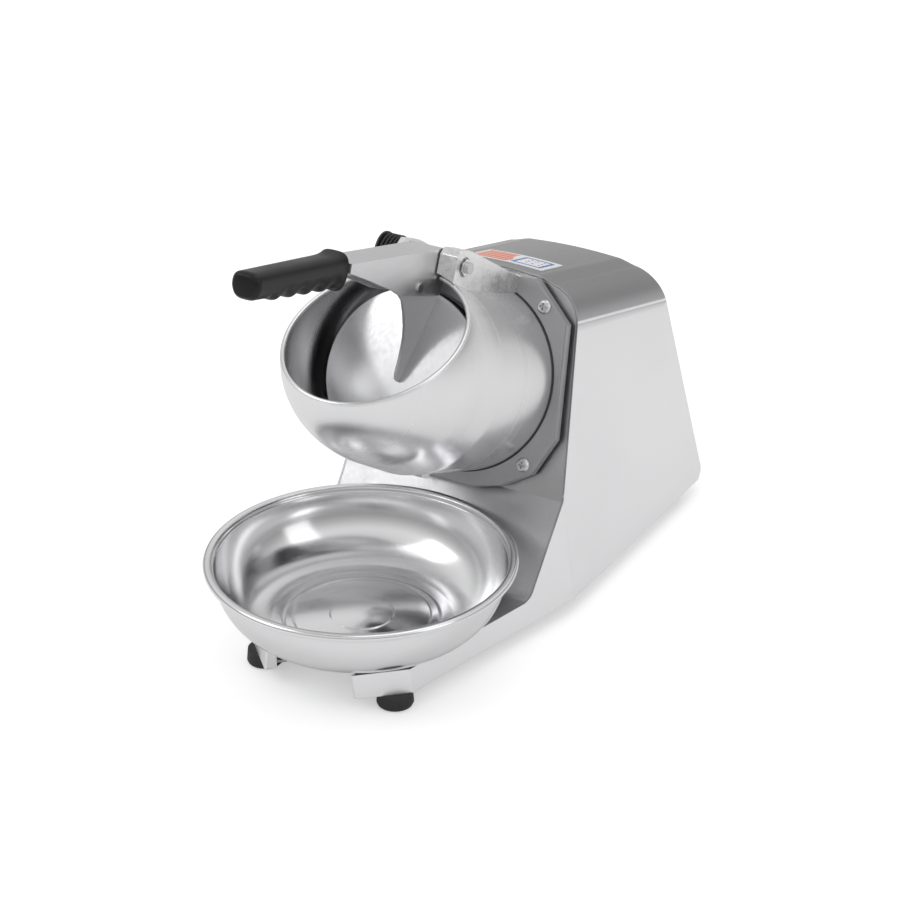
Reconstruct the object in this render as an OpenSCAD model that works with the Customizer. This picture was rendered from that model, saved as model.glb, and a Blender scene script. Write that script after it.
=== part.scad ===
// Electric ice crusher with a tilted drum, a hand lever that feeds the ice
// to a spinning blade disc, and a loose bowl under the drum's outlet.
// Millimetres. +X is the machine's right as seen from the front, +Y is its back,
// +Z is up. The origin is the middle of the footprint on the floor.

/* [Housing] */
// Width across the lower edge of the side panels
body_w = 203; // [180:1:230]
// Height of the underside above the floor
body_z = 11; // [8:0.5:16]
// Lean of each side panel towards the middle, going up, degrees
side_lean = 7.4; // [3:0.1:12]
// Narrowing of the housing towards the back, degrees per side
plan_taper = 1.1; // [0:0.1:4]
// Height of the roof above the front sheet
roof_z = 234; // [210:1:260]
// Fall of the roof towards the back, degrees
roof_slope = 13.3; // [5:0.5:22]
// Crown radius of the roof sheet
roof_crown_r = 400; // [250:10:900]
// Radius of the long bends between the roof and the sides
corner_r = 30; // [20:1:45]
// Lean of the rear panel towards the front, going up, degrees
rear_lean = 13.5; // [5:0.5:20]
// Distance from the bend of the arms to the rear panel, at the underside
body_len = 226; // [200:1:250]
// Thickness of the sheet steel
sheet = 1.5; // [1:0.1:2.5]

/* [Arms] */
// Height of the two forward arms
arm_h = 18; // [14:0.5:24]
// Distance from the first bend to the second bend of an arm, front to back
arm_len = 168; // [150:1:190]
// Turn of each arm towards the middle, degrees
arm_turn = 11.7; // [6:0.1:16]
// Length of the bent tip of each arm, front to back
tip_len = 27; // [20:1:36]
// Turn of each tip towards the middle, degrees
tip_turn = 46.8; // [35:0.2:60]
// Distance from the bowl's middle to the first bend
bend_back = 128; // [115:1:140]
// Height of the knee, where the front sheet starts to run forward
knee_z = 88; // [75:1:100]

/* [Drum] */
// Tilt of the drum and the motor, front end up, degrees
tilt = 21.5; // [15:0.5:30]
// Outside radius of the drum
drum_r = 70.5; // [64:0.5:78]
// Length of the straight part of the drum, from its flange
drum_len = 80; // [70:1:100]
// Length of the nose before its dome starts
nose_len = 33; // [20:1:50]
// Upward turn of the nose, degrees
nose_turn = 11; // [0:0.5:18]
// Length of the dome
dome_len = 88; // [60:1:100]
// Wall of the drum
drum_wall = 3; // [2:0.5:5]
// Distance from the bowl's middle back to the drum's flange, on the drum's axis
drum_back = 143; // [130:1:155]
// Height of the drum's axis at its flange
drum_z = 162.5; // [150:0.5:175]
// Slope of the mouth, measured from the flange plane, degrees
mouth_turn = 48.2; // [35:0.2:55]
// Distance of the mouth from the flange, on the drum's axis
mouth_y = 170; // [155:1:185]
// Half width of the flange plate at its upper corners
flange_top_w = 72; // [66:0.5:76]
// Half width of the flange plate at its lower corners
flange_low_w = 80.5; // [74:0.5:84]
// Half height of the flange plate
flange_half = 79; // [74:0.5:82]
// Thickness of the flange plate
flange_t = 8; // [5:0.5:10]
// Gap between the flange plate and the front sheet
pad_t = 4; // [3:0.5:8]

/* [Lever] */
// Distance of the hinge pin in front of the flange
pin_fwd = 85; // [78:0.5:95]
// Height of the hinge pin above the drum's axis
pin_up = 81; // [80:0.5:90]
// Radius of the hinge pin
pin_r = 4; // [3:0.25:5]
// Outside width of the lever channel
lever_w = 26; // [20:1:34]
// Thickness of the lever's sheet
lever_t = 2; // [1.5:0.25:3]
// Distance of the lever's front edge in front of the flange
lever_fwd = 209; // [190:1:225]
// Length of the grip
grip_len = 110; // [100:1:130]
// Height of the grip at its fat places
grip_h = 25; // [20:0.5:30]
// Width of the grip
grip_w = 24; // [20:0.5:30]

/* [Press plate] */
// Radius of the plate that presses the ice
plate_r = 59.7; // [54:0.1:60]
// Distance of the plate in front of the flange, on the drum's axis
plate_fwd = 94.8; // [90:0.2:100]
// Lean of the plate while the lever rests, lower edge to the front, degrees
plate_lean = 9.1; // [5:0.1:14]

/* [Return spring] */
// Mean radius of the coil
coil_r = 11.2; // [9.8:0.1:11.4]
// Thickness of the wire
wire_d = 2.2; // [1.5:0.1:2.4]
// Number of curls
coil_turns = 4; // [3:1:6]
// Clear gap between two curls
coil_gap = 0.7; // [0.5:0.1:1.2]

/* [Cutting disc] */
// Radius of the blade disc
disc_r = 60; // [54:0.5:63]
// Distance of the disc's face in front of the flange
disc_fwd = 76; // [70:0.5:78]
// Thickness of the disc
disc_t = 5; // [3:0.5:8]
// Radius of the drive shaft
shaft_r = 8; // [6:0.5:10]
// Number of blades
blades_n = 2; // [2:1:4]

/* [Bowl] */
// Outside radius of the bowl's rim
bowl_r = 110; // [100:1:120]
// Height of the bowl
bowl_h = 51; // [45:0.5:60]
// Thickness of the bowl's sheet
bowl_t = 0.9; // [0.6:0.1:1.5]
// Radius of the ring that the bowl stands on
bowl_foot_r = 61; // [50:0.5:66]

/* [Feet] */
// Radius of a rubber foot
foot_r = 13; // [10:0.5:16]
// Distance of a front foot's middle inside the bend of its arm
foot_in = 12.7; // [10:0.1:16]
// Distance of a front foot's middle in front of the bend of its arm
foot_ahead = 3; // [0:0.5:6]
// Half distance between the rear feet
foot_rear_x = 76; // [65:1:85]

/* [Motor] */
// Outside radius of the motor
motor_r = 45; // [38:1:48]
// Length of the motor's body
motor_len = 100; // [80:1:110]
// Distance from the flange to the front of the motor
motor_back = 42; // [40:1:50]

/* [Shown] */
// Sub-part to draw

/* [Hidden] */
$fn = 64;
eps = 0.05;
fit_gap = 0.05;
seat_gap = 0.3;
big = 600;

bottom_half = body_w / 2;
lean_k = tan(side_lean);
taper_k = tan(plan_taper);
arm_k = tan(arm_turn);
tip_k = tan(tip_turn);
rear_y = bend_back + body_len;
arm_top = body_z + arm_h;
bend2_y = bend_back - arm_len;
bend2_x = bottom_half - arm_k * arm_len;
tip_y = bend2_y - tip_len;
tip_x = bend2_x - tip_k * tip_len;

pad_back = flange_t + pad_t;
front_y0 = drum_back + pad_back / cos(tilt);
front_k = tan(tilt);
roof_k = tan(roof_slope);
roof_front_y = front_y0 + front_k * (roof_z - drum_z);
rear_k = tan(rear_lean);
tray_top = arm_top;
tray_front = bend2_y + 4;

inner_r = drum_r - drum_wall;
pin = [-pin_fwd, pin_up];
ear_gap = 1;
ear_in = lever_w / 2 + ear_gap;
ear_near_w = 14;
ear_far_w = 7;
ear_low = 60;
ear_top = pin_up + 11.5;
ear_front = -pin_fwd - 12;
ear_root_top = 77;

lever_slope = atan(15.2 / 116.4);
lever_top_rear = 91;
grip_rear = -lever_fwd + 8;
grip_front = grip_rear - grip_len;
grip_mid = lever_top_rear - tan(lever_slope) * (lever_fwd - 93) - 4.5;
grip_tilt = 8.2;

bowl_base = tray_top + seat_gap;
bowl_rim_z = bowl_base + bowl_h;
bead_r = 2.6;

disc_front = -disc_fwd;
disc_back = disc_front + disc_t;
motor_end = motor_back + motor_len;
spring_pitch = wire_d + coil_gap;
spring_x0 = -(ear_in + ear_far_w) - wire_d / 2 - 0.5;
spring_x1 = spring_x0 - (coil_turns + 0.1) * spring_pitch;

gland_at = [52, 40];
gland_r = 8;
gland_out = 12;
gland_tube_r = 7;

// The middle of the footprint, counted from the bowl's middle.
// The grip's rounded end and the gland's round edge take a little off both ends.
grip_end_in = 0.8;
centre_trim = 0.42;
grip_end_z = grip_mid - grip_len * sin(grip_tilt);
front_most = drum_back + (grip_front + grip_end_in) * cos(tilt) + grip_end_z * sin(tilt);
back_most = rear_y + gland_out * cos(rear_lean) - (gland_at[1] - gland_tube_r) * sin(rear_lean);
mid_y = (front_most + back_most) / 2 - centre_trim;

// Frames

// Moves from the bowl's middle to the middle of the footprint.
module on_floor() {
  translate([0, -mid_y, 0])
    children();
}

// The drum's axis runs along -Y to the front, and the flange's face is at y = 0.
module drum_frame() {
  on_floor()
    translate([0, drum_back, drum_z])
      rotate([-tilt, 0, 0])
        children();
}

// The rear panel's outside face is y = 0, and z runs up along the panel.
module rear_frame() {
  on_floor()
    translate([0, rear_y, body_z])
      rotate([rear_lean, 0, 0])
        children();
}

// A turned shape about the drum's axis: the profile's y counts forward from the flange.
module drum_turn(f = 96) {
  rotate([90, 0, 0])
    rotate_extrude($fn = f)
      children();
}

// A rod along the drum's axis between two distances from the flange, back positive.
module axle(r, y0, y1, f = 64) {
  translate([0, y1, 0])
    rotate([90, 0, 0])
      cylinder(r = r, h = y1 - y0, $fn = f);
}

// A rod along X at a place in the drum's frame.
module cross_rod(r, x0, x1, at, f = 48) {
  translate([x0, at[0], at[1]])
    rotate([0, 90, 0])
      cylinder(r = r, h = x1 - x0, $fn = f);
}

// An outline in the Y-Z plane drawn out along X.
module plate_x(x0, x1) {
  translate([x0, 0, 0])
    rotate([90, 0, 90])
      linear_extrude(x1 - x0)
        children();
}

// Planes of the sheet-metal body, all counted from the bowl's middle

function side_x(y, z) = bottom_half - lean_k * (z - body_z) - taper_k * (y - bend_back);
function roof_at(y) = roof_z - roof_k * (y - roof_front_y);
function front_at(z) = front_y0 + front_k * (z - drum_z);
function front_z(y) = drum_z + (y - front_y0) / front_k;

// Everything between the plane x = x0 - k (z - body_z) - j (y - y0) and its copy
// moved by `from` and `to` along the plane's inward normal. Side is +1 or -1.
module leaning_slab(side, x0, y0, k, j, from, to) {
  mirror([side < 0 ? 1 : 0, 0, 0])
    translate([x0, y0, body_z])
      rotate([0, 0, atan(j)])
        rotate([0, -atan(k * cos(atan(j))), 0])
          translate([-to, -big / 2, -big / 2])
            cube([to - from, big, big]);
}

module side_slab(side, from, to) {
  leaning_slab(side, bottom_half, bend_back, lean_k, taper_k, from, to);
}

module arm_slab(side, from, to) {
  leaning_slab(side, bottom_half, bend_back, lean_k, -arm_k, from, to);
}

module tip_slab(side, from, to) {
  leaning_slab(side, bend2_x, bend2_y, lean_k, -tip_k, from, to);
}

// Cross-section of the housing at a distance behind the bowl's middle, moved in by t.
function section(y, t) =
  let (
    zr = roof_at(y),
    crown = roof_crown_r,
    zc = zr - corner_r - 5,
    xc = side_x(y, zc) - corner_r / cos(side_lean),
    r = corner_r - t,
    side_pt = [for (i = [0:10]) let (a = side_lean + (82 - side_lean) * i / 10) [xc + r * cos(a), zc + r * sin(a)]],
    top_pt = [for (i = [1:7]) let (x = xc * (1 - i / 7)) [x, zr - t - x * x / (2 * crown)]]
  )
  concat([[side_x(y, body_z) - t / cos(side_lean), body_z]], side_pt, top_pt);

module section_slice(y, t) {
  half = section(y, t);
  translate([0, y, 0])
    rotate([90, 0, 0])
      linear_extrude(0.01)
        polygon(concat(half, [for (i = [len(half) - 2:-1:0]) [-half[i][0], half[i][1]]]));
}

// The housing as a solid, moved in by t at the roof and the sides.
module body_solid(t) {
  hull() {
    section_slice(60, t);
    section_slice(420, t);
  }
}

// Space in front of the front sheet's outside face, above the knee.
module front_space(t) {
  translate([0, front_y0 + t / cos(tilt), drum_z])
    rotate([-tilt, 0, 0])
      translate([-big / 2, -big, -big / 2])
        cube([big, big, big]);
}

// Space behind the rear panel's outside face moved in by t.
module rear_space(t) {
  translate([0, rear_y - t / cos(rear_lean), body_z])
    rotate([rear_lean, 0, 0])
      translate([-big / 2, 0, -big / 2])
        cube([big, big, big]);
}

// Sheet-metal body

foot_chamfer = 12;

// Where the line through a along u meets the line through b along v.
function meet(a, u, b, v) = a + u * ((b - a)[0] * v[1] - (b - a)[1] * v[0]) / (u[0] * v[1] - u[1] * v[0]);

// Points of an arc of radius r that rounds the corner p between p0 and p1.
function round_off(p0, p, p1, r, n) =
  let (
    u = (p0 - p) / norm(p0 - p),
    v = (p1 - p) / norm(p1 - p),
    half = acos(u * v) / 2,
    c = p + (u + v) / norm(u + v) * r / sin(half),
    d = r / tan(half),
    a0 = atan2((p + u * d - c)[1], (p + u * d - c)[0]),
    a1 = atan2((p + v * d - c)[1], (p + v * d - c)[0]),
    turn = a1 - a0 > 180 ? a1 - a0 - 360 : (a1 - a0 < -180 ? a1 - a0 + 360 : a1 - a0)
  )
  [for (i = [0:n]) c + r * [cos(a0 + turn * i / n), sin(a0 + turn * i / n)]];

// The front sheet in the Y-Z plane, moved back into the housing by t: the leaning
// face, the knee, the run forward and the tray.
knee = [front_at(knee_z), knee_z];
diag_run = 44;
low_corner = [knee[0] - diag_run, tray_top];
lean_dir = [sin(tilt), cos(tilt)];
diag_dir = (knee - low_corner) / norm(knee - low_corner);
arm_round = 14;
function sheet_path(t) =
  let (
    lean_pt = knee + t * [cos(tilt), -sin(tilt)],
    diag_pt = knee + t * [diag_dir[1], -diag_dir[0]],
    tray_pt = [0, tray_top - t],
    top = meet(lean_pt, lean_dir, [0, roof_z + 10], [1, 0]),
    k = meet(lean_pt, lean_dir, diag_pt, diag_dir),
    c = meet(diag_pt, diag_dir, tray_pt, [1, 0]),
    end = [tray_front, tray_top - t]
  )
  concat([top], round_off(top, k, c, 4 + t, 4), round_off(k, c, end, arm_round - t, 8), [end]);

module hood() {
  color([0.78, 0.78, 0.79])
    on_floor()
      difference() {
        body_solid(0);
        body_solid(sheet);
        front_space(0);
        rear_space(0);
        translate([-big / 2, -big, -1])
          cube([big, big + bend_back, front_z(bend_back) + 1]);
        translate([0, rear_y, body_z])
          rotate([45, 0, 0])
            cube([big, foot_chamfer, foot_chamfer], center = true);
      }
}

// Outline of an arm in the Y-Z plane: the part under the knee, then the low arm.
module arm_outline() {
  path = sheet_path(0);
  polygon(concat(
    [[bend_back, body_z], [bend_back, front_z(bend_back)]],
    [for (i = [1:len(path) - 2]) if (path[i][1] < knee_z + 3) path[i]],
    [[bend2_y, arm_top], [bend2_y, body_z]]
  ));
}

// Side is +1 or -1. Each arm is one sheet: the long run, the bent tip, its top
// edge and its turned-in end.
lip_w = 9;
module arm(side) {
  color([0.8, 0.8, 0.81])
    on_floor()
      mirror([side < 0 ? 1 : 0, 0, 0]) {
        difference() {
          intersection() {
            arm_slab(1, 0, sheet);
            plate_x(-big / 2, big / 2)
              arm_outline();
          }
          side_slab(1, -20, 0);
        }
        intersection() {
          tip_slab(1, 0, sheet);
          translate([-big / 2, tip_y, body_z])
            cube([big, tip_len, arm_h]);
        }
        difference() {
          translate([0, 0, arm_top - sheet])
            linear_extrude(sheet)
              polygon([
                [tip_x, tip_y],
                [bend2_x, bend2_y],
                [bend2_x - lip_w, bend2_y + lip_w * 0.4],
                [tip_x - lip_w * 0.68, tip_y + lip_w * 0.73]
              ]);
          tip_slab(1, -20, sheet - eps);
          arm_slab(1, -20, sheet - eps);
        }
        difference() {
          translate([tip_x, tip_y, body_z])
            rotate([0, 0, 90 + 43])
              translate([0, -sheet, 0])
                cube([lip_w, sheet, arm_h]);
          tip_slab(1, -20, sheet - eps);
        }
      }
}

module arm_left() {
  arm(-1);
}

module arm_right() {
  arm(1);
}

module front_profile() {
  front_face = sheet_path(0);
  back_face = sheet_path(sheet);
  polygon(concat(front_face, [for (i = [len(back_face) - 1:-1:0]) back_face[i]]));
}

shaft_hole_r = 40;
module front_panel() {
  color([0.55, 0.55, 0.56])
    difference() {
      on_floor()
        difference() {
          intersection() {
            plate_x(-big / 2, big / 2)
              front_profile();
            union() {
              body_solid(sheet + eps);
              translate([-big / 2, -big, 0])
                cube([big, 2 * big, drum_z + 20]);
            }
          }
          for (s = [-1, 1]) {
            side_slab(s, -big / 2, sheet + eps);
            arm_slab(s, -big / 2, sheet + eps);
            tip_slab(s, -big / 2, sheet + eps);
          }
        }
      drum_frame() {
        axle(shaft_hole_r, 0, 60);
        for (p = screw_spots())
          translate([p[0], 0, p[1]])
            axle(screw_r + fit_gap, 0, 40, 24);
      }
    }
}

// Rear panel, base plate

vent_n = 9;
vent_w = 60;
vent_h = 4;
vent_step = 9;
switch_at = [-52, 74];
switch_w = 20;
switch_h = 28;

module rear_panel() {
  color([0.75, 0.75, 0.76])
    difference() {
      on_floor()
        intersection() {
          body_solid(sheet + eps);
          difference() {
            rear_space(sheet + 2);
            rear_space(2);
          }
          translate([-big / 2, 0, body_z + 10])
            cube([big, big, big]);
        }
      rear_frame() {
        for (i = [0:vent_n - 1])
          translate([-vent_w / 2, -10, 95 + i * vent_step])
            cube([vent_w, 20, vent_h]);
        translate([switch_at[0] - switch_w / 2, -10, switch_at[1] - switch_h / 2])
          cube([switch_w, 20, switch_h]);
        translate([gland_at[0], 10, gland_at[1]])
          rotate([90, 0, 0])
            cylinder(r = gland_r, h = 30, $fn = 48);
      }
    }
}

module base_plate() {
  color([0.6, 0.6, 0.61])
    on_floor()
      difference() {
        translate([0, 0, body_z])
          linear_extrude(2)
            polygon([
              [side_x(rear_y - 12, body_z) - sheet - 1, rear_y - 12],
              [side_x(bend_back, body_z) - sheet - 1, bend_back],
              [bend2_x - sheet - 3, bend2_y],
              [tip_x + 2, tip_y + 7],
              [tip_x - 8, tip_y + 16],
              [bend2_x - 30, bend2_y + 12],
              [60, 40],
              [50, 90],
              [-50, 90],
              [-60, 40],
              [-bend2_x + 30, bend2_y + 12],
              [-tip_x + 8, tip_y + 16],
              [-tip_x - 2, tip_y + 7],
              [-bend2_x + sheet + 3, bend2_y],
              [-side_x(bend_back, body_z) + sheet + 1, bend_back],
              [-side_x(rear_y - 12, body_z) + sheet + 1, rear_y - 12]
            ]);
        for (p = feet_spots())
          translate([p[0], p[1], 0])
            cylinder(r = foot_screw_r + fit_gap, h = 30, $fn = 32);
      }
}

// Feet

foot_screw_r = 2;
foot_rear_y = rear_y - 34;
foot_front_x = bend2_x - foot_in;
foot_front_y = bend2_y - foot_ahead;
function feet_spots() = [
  [-foot_front_x, foot_front_y],
  [foot_front_x, foot_front_y],
  [-foot_rear_x, foot_rear_y],
  [foot_rear_x, foot_rear_y]
];

module foot(i) {
  p = feet_spots()[i];
  color([0.07, 0.07, 0.07])
    on_floor()
      translate([p[0], p[1], 0])
        difference() {
          rotate_extrude($fn = 64)
            polygon([
              [0, 0],
              [foot_r - 2.5, 0],
              [foot_r - 0.8, 0.8],
              [foot_r, 2.5],
              [foot_r - 0.8, body_z],
              [0, body_z]
            ]);
          translate([0, 0, -1])
            cylinder(r = 5, h = 5, $fn = 32);
          cylinder(r = foot_screw_r + fit_gap, h = body_z + 1, $fn = 32);
        }
}

module foot_front_left() {
  foot(0);
}

module foot_front_right() {
  foot(1);
}

module foot_rear_left() {
  foot(2);
}

module foot_rear_right() {
  foot(3);
}

module foot_screws() {
  color([0.6, 0.6, 0.6])
    on_floor()
      for (p = feet_spots())
        translate([p[0], p[1], 0]) {
          translate([0, 0, 2])
            cylinder(r = 4.2, h = 2, $fn = 32);
          translate([0, 0, 2])
            cylinder(r = foot_screw_r, h = body_z + 4, $fn = 32);
        }
}

// Drum

drum_floor_t = 6;
chute_y0 = disc_back + 1;
chute_y1 = -46;
chute_w = 72;
notch_half = lever_w / 2 + 1.2;
notch_back = -pin_fwd + 16;
dome_steps = 16;
function dome(r, l, h) = [
  for (i = [0:dome_steps])
    let (a = 90 * i / dome_steps)
      [r * cos(a), l + h * sin(a)]
];

// Everything in front of the joint between the drum's tube and its nose.
module nose_side() {
  translate([0, -drum_len, 0])
    rotate([-nose_turn / 2, 0, 0])
      translate([-big / 2, -big, -big / 2])
        cube([big, big, big]);
}

// The slot at the top that the lever swings in.
module lever_notch() {
  translate([-notch_half, notch_back - 80, drum_r - 14])
    cube([2 * notch_half, 80, 30]);
}

module drum() {
  color([0.86, 0.86, 0.87])
    drum_frame()
      difference() {
        drum_turn()
          polygon([
            [0, 0],
            [drum_r, 0],
            [drum_r, drum_len + 20],
            [inner_r, drum_len + 20],
            [inner_r, drum_floor_t],
            [0, drum_floor_t]
          ]);
        nose_side();
        lever_notch();
        axle(shaft_r + 1, -20, 5);
        translate([-chute_w / 2, chute_y0, -drum_r - 5])
          cube([chute_w, chute_y1 - chute_y0, 50]);
        translate([0, bolt_y, -drum_r - 5])
          cylinder(r = bolt_r + fit_gap, h = 20, $fn = 32);
      }
}

module drum_nose() {
  color([0.86, 0.86, 0.87])
    drum_frame()
      difference() {
        intersection() {
          translate([0, -drum_len, 0])
            rotate([-nose_turn, 0, 0])
              drum_turn()
                polygon(concat(
                  [[inner_r, -20], [drum_r, -20]],
                  dome(drum_r, nose_len, dome_len),
                  [for (i = [dome_steps:-1:0]) dome(inner_r, nose_len, dome_len - drum_wall)[i]]
                ));
          nose_side();
        }
        lever_notch();
        translate([0, -mouth_y, 0])
          rotate([-mouth_turn, 0, 0])
            translate([-big / 2, -big, -big / 2])
              cube([big, big, big]);
      }
}

bolt_y = -37;
bolt_r = 3;
module drum_bolt() {
  color([0.62, 0.62, 0.62])
    drum_frame()
      translate([0, bolt_y, -drum_r]) {
        translate([0, 0, -5])
          cylinder(r = 6.2, h = 5, $fn = 6);
        translate([0, 0, -5])
          cylinder(r = bolt_r, h = 5 + drum_wall + 3, $fn = 32);
      }
}

// Flange

screw_top = [52.3, 60.1];
screw_low = [59.8, -54.2];
screw_r = 2.5;
function screw_spots() = [
  screw_top,
  [-screw_top[0], screw_top[1]],
  screw_low,
  [-screw_low[0], screw_low[1]]
];

module octagon(half, cut) {
  c = half - cut;
  polygon([
    [half, c],
    [c, half],
    [-c, half],
    [-half, c],
    [-half, -c],
    [-c, -half],
    [c, -half],
    [half, -c]
  ]);
}

// Outline of the flange plate, moved in by t. The lower corners are rounded off.
module flange_outline(t) {
  right = [
    [flange_top_w - 31 - t * 0.5, flange_half - t],
    [flange_top_w - t, 51 - t * 0.5],
    [flange_low_w - t, -31],
    [67 - t * 0.8, -59.5 + t * 0.6],
    [45 - t * 0.5, -flange_half + 5.5 + t * 0.9],
    [24, -flange_half + t]
  ];
  polygon(concat(right, [for (i = [len(right) - 1:-1:0]) [-right[i][0], right[i][1]]]));
}

module drum_flange() {
  color([0.4, 0.4, 0.41])
    drum_frame()
      difference() {
        union() {
          translate([0, flange_t, 0])
            rotate([90, 0, 0])
              linear_extrude(flange_t - 0.8)
                flange_outline(0);
          translate([0, 0.8, 0])
            rotate([90, 0, 0])
              linear_extrude(0.8)
                flange_outline(0.7);
        }
        axle(30, -1, flange_t + 1);
        for (p = screw_spots())
          translate([p[0], 0, p[1]])
            axle(screw_r + fit_gap, -1, flange_t + 1, 24);
      }
}

module drum_pad() {
  color([0.1, 0.1, 0.1])
    drum_frame()
      difference() {
        translate([0, flange_t + pad_t, 0])
          rotate([90, 0, 0])
            linear_extrude(pad_t)
              flange_outline(4);
        axle(50, 0, 30);
        for (p = screw_spots())
          translate([p[0], 0, p[1]])
            axle(screw_r + fit_gap, -1, 30, 24);
      }
}

screw_head_r = 5.2;
screw_head_h = 3;
module cross_screw(len) {
  difference() {
    union() {
      rotate([90, 0, 0])
        rotate_extrude($fn = 40)
          polygon([
            [0, 0],
            [screw_head_r, 0],
            [screw_head_r, 1],
            [screw_head_r - 1.1, screw_head_h - 0.6],
            [screw_head_r - 2.6, screw_head_h],
            [0, screw_head_h]
          ]);
      axle(screw_r, -0.5, len, 32);
    }
    for (a = [0, 90])
      rotate([0, a, 0])
        translate([-2.6, -screw_head_h - 1, -0.6])
          cube([5.2, 2.6, 1.2]);
  }
}

module flange_screws() {
  color([0.75, 0.75, 0.76])
    drum_frame()
      for (p = screw_spots())
        translate([p[0], 0, p[1]])
          cross_screw(pad_back + sheet + 2);
}

// Hinge bracket, pin and spring

module ear_outline() {
  polygon([
    [ear_front + 3, ear_low],
    [ear_front, ear_low + 6],
    [ear_front, ear_top - 5],
    [ear_front + 4, ear_top],
    [-pin_fwd + 6, ear_top],
    [-eps, ear_root_top],
    [-eps, ear_low]
  ]);
}

module hinge_bracket() {
  color([0.72, 0.72, 0.71])
    drum_frame()
      difference() {
        union() {
          plate_x(ear_in, ear_in + ear_near_w)
            ear_outline();
          plate_x(-ear_in - ear_far_w, -ear_in)
            ear_outline();
          plate_x(-ear_in - eps, ear_in + eps)
            polygon([
              [-40, ear_low],
              [-40, drum_r + 4],
              [-eps, drum_r + 4],
              [-eps, ear_low]
            ]);
        }
        axle(drum_r + fit_gap, -200, 10, 96);
        translate([0, -drum_len, 0])
          rotate([-nose_turn, 0, 0])
            axle(drum_r + fit_gap, -60, 0, 96);
        cross_rod(pin_r + fit_gap, -60, 60, pin);
        cross_rod(pin_r + 3, ear_in + ear_near_w - 2, 60, pin);
        cross_rod(wire_d / 2 + 0.4, -ear_in - ear_far_w - 1, -ear_in + 1, fixed_hole, 24);
      }
}

sleeve_flange_t = 1.4;
sleeve_x0 = spring_x1 - wire_d / 2 - 0.4 - sleeve_flange_t;
pin_x0 = sleeve_x0 - eps;
pin_x1 = ear_in + ear_near_w + 5;
module hinge_pin() {
  color([0.7, 0.7, 0.7])
    drum_frame() {
      cross_rod(pin_r, pin_x0, pin_x1, pin);
      cross_rod(6.5, pin_x0 - 2, pin_x0, pin);
    }
}

module hinge_nut() {
  color([0.68, 0.68, 0.69])
    drum_frame()
      difference() {
        cross_rod(6, ear_in + ear_near_w - 2 + eps, pin_x1 - 3.5, pin, 6);
        cross_rod(pin_r + fit_gap, 0, 60, pin);
      }
}

// Black sleeve inside the coil, with a flange over the coil's outer end.
module spring_sleeve() {
  color([0.1, 0.1, 0.1])
    drum_frame()
      difference() {
        union() {
          cross_rod(coil_r - wire_d / 2 - 0.7, sleeve_x0, -ear_in - ear_far_w - eps, pin);
          cross_rod(coil_r + wire_d / 2 + 0.6, sleeve_x0, sleeve_x0 + sleeve_flange_t, pin);
        }
        cross_rod(pin_r + fit_gap, -80, 60, pin);
      }
}

// One wire: in from the lever's hole, round the coil, out to the bracket's hole.
hook_in = 6;
bend_r = 2;
fixed_hole = [-pin_fwd + 23, pin_up - 5];
moving_hole = [-pin_fwd - 35, pin_up + 2.2];
function from_pin(p) = [p[0] + pin_fwd, p[1] - pin_up];
function reach(p) = acos(coil_r / norm(from_pin(p)));
function bearing_of(p) = atan2(from_pin(p)[1], from_pin(p)[0]);
coil_start = bearing_of(moving_hole) + reach(moving_hole) - 360;
coil_end = bearing_of(fixed_hole) - reach(fixed_hole);
coil_sweep = 360 * coil_turns + coil_end - coil_start;
rings_per_curl = 8;
coil_steps = coil_turns * rings_per_curl + 1;
function rim_point(a) = [-pin_fwd + coil_r * cos(a), pin_up + coil_r * sin(a)];

// Every point is [x, y, z, outward y, outward z].
function hook(x_end, x, hole, a) =
  let (
    run = (rim_point(a) - hole) / norm(rim_point(a) - hole),
    o = [cos(a), sin(a)]
  )
  [
    [x_end, hole[0], hole[1], o[0], o[1]],
    [x + bend_r, hole[0], hole[1], o[0], o[1]],
    [
      x + bend_r * 0.3,
      hole[0] + run[0] * bend_r * 0.3,
      hole[1] + run[1] * bend_r * 0.3,
      o[0],
      o[1]
    ],
    [x, hole[0] + run[0] * bend_r, hole[1] + run[1] * bend_r, o[0], o[1]]
  ];
function coil_path() = [
  for (i = [0:coil_steps])
    let (a = coil_start + coil_sweep * i / coil_steps)
      [
        spring_x0 + (spring_x1 - spring_x0) * i / coil_steps,
        rim_point(a)[0],
        rim_point(a)[1],
        cos(a),
        sin(a)
      ]
];
function turned(list) = [for (i = [len(list) - 1:-1:0]) list[i]];
lever_hook = hook(-lever_w / 2 + lever_t, spring_x0, moving_hole, coil_start);
ear_hook = hook(-ear_in - ear_far_w + hook_in, spring_x1, fixed_hole, coil_end);
wire_path = concat(lever_hook, coil_path(), turned(ear_hook));
wire_sides = 6;

function point3(p) = [p[0], p[1], p[2]];
function along(path, i) =
  let (
    a = point3(path[max(i - 1, 0)]),
    b = point3(path[min(i + 1, len(path) - 1)])
  )
  (b - a) / norm(b - a);

module wire(path, r, n) {
  pts = [
    for (i = [0:len(path) - 1])
      let (
        t = along(path, i),
        v = [0, path[i][3], path[i][4]],
        w0 = cross(v, t),
        w = w0 / norm(w0)
      )
        for (k = [0:n - 1])
          let (a = 360 * k / n)
            point3(path[i]) + r * (cos(a) * v + sin(a) * w)
  ];
  rings = len(path);
  faces = concat(
    [[for (k = [0:n - 1]) k]],
    [
      for (i = [0:rings - 2], k = [0:n - 1])
        let (k2 = (k + 1) % n)
          [i * n + k, (i + 1) * n + k, (i + 1) * n + k2, i * n + k2]
    ],
    [[for (k = [n - 1:-1:0]) (rings - 1) * n + k]]
  );
  polyhedron(points = pts, faces = faces, convexity = 10);
}

module return_spring() {
  color([0.08, 0.08, 0.08])
    drum_frame()
      wire(wire_path, wire_d / 2, wire_sides);
}

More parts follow.
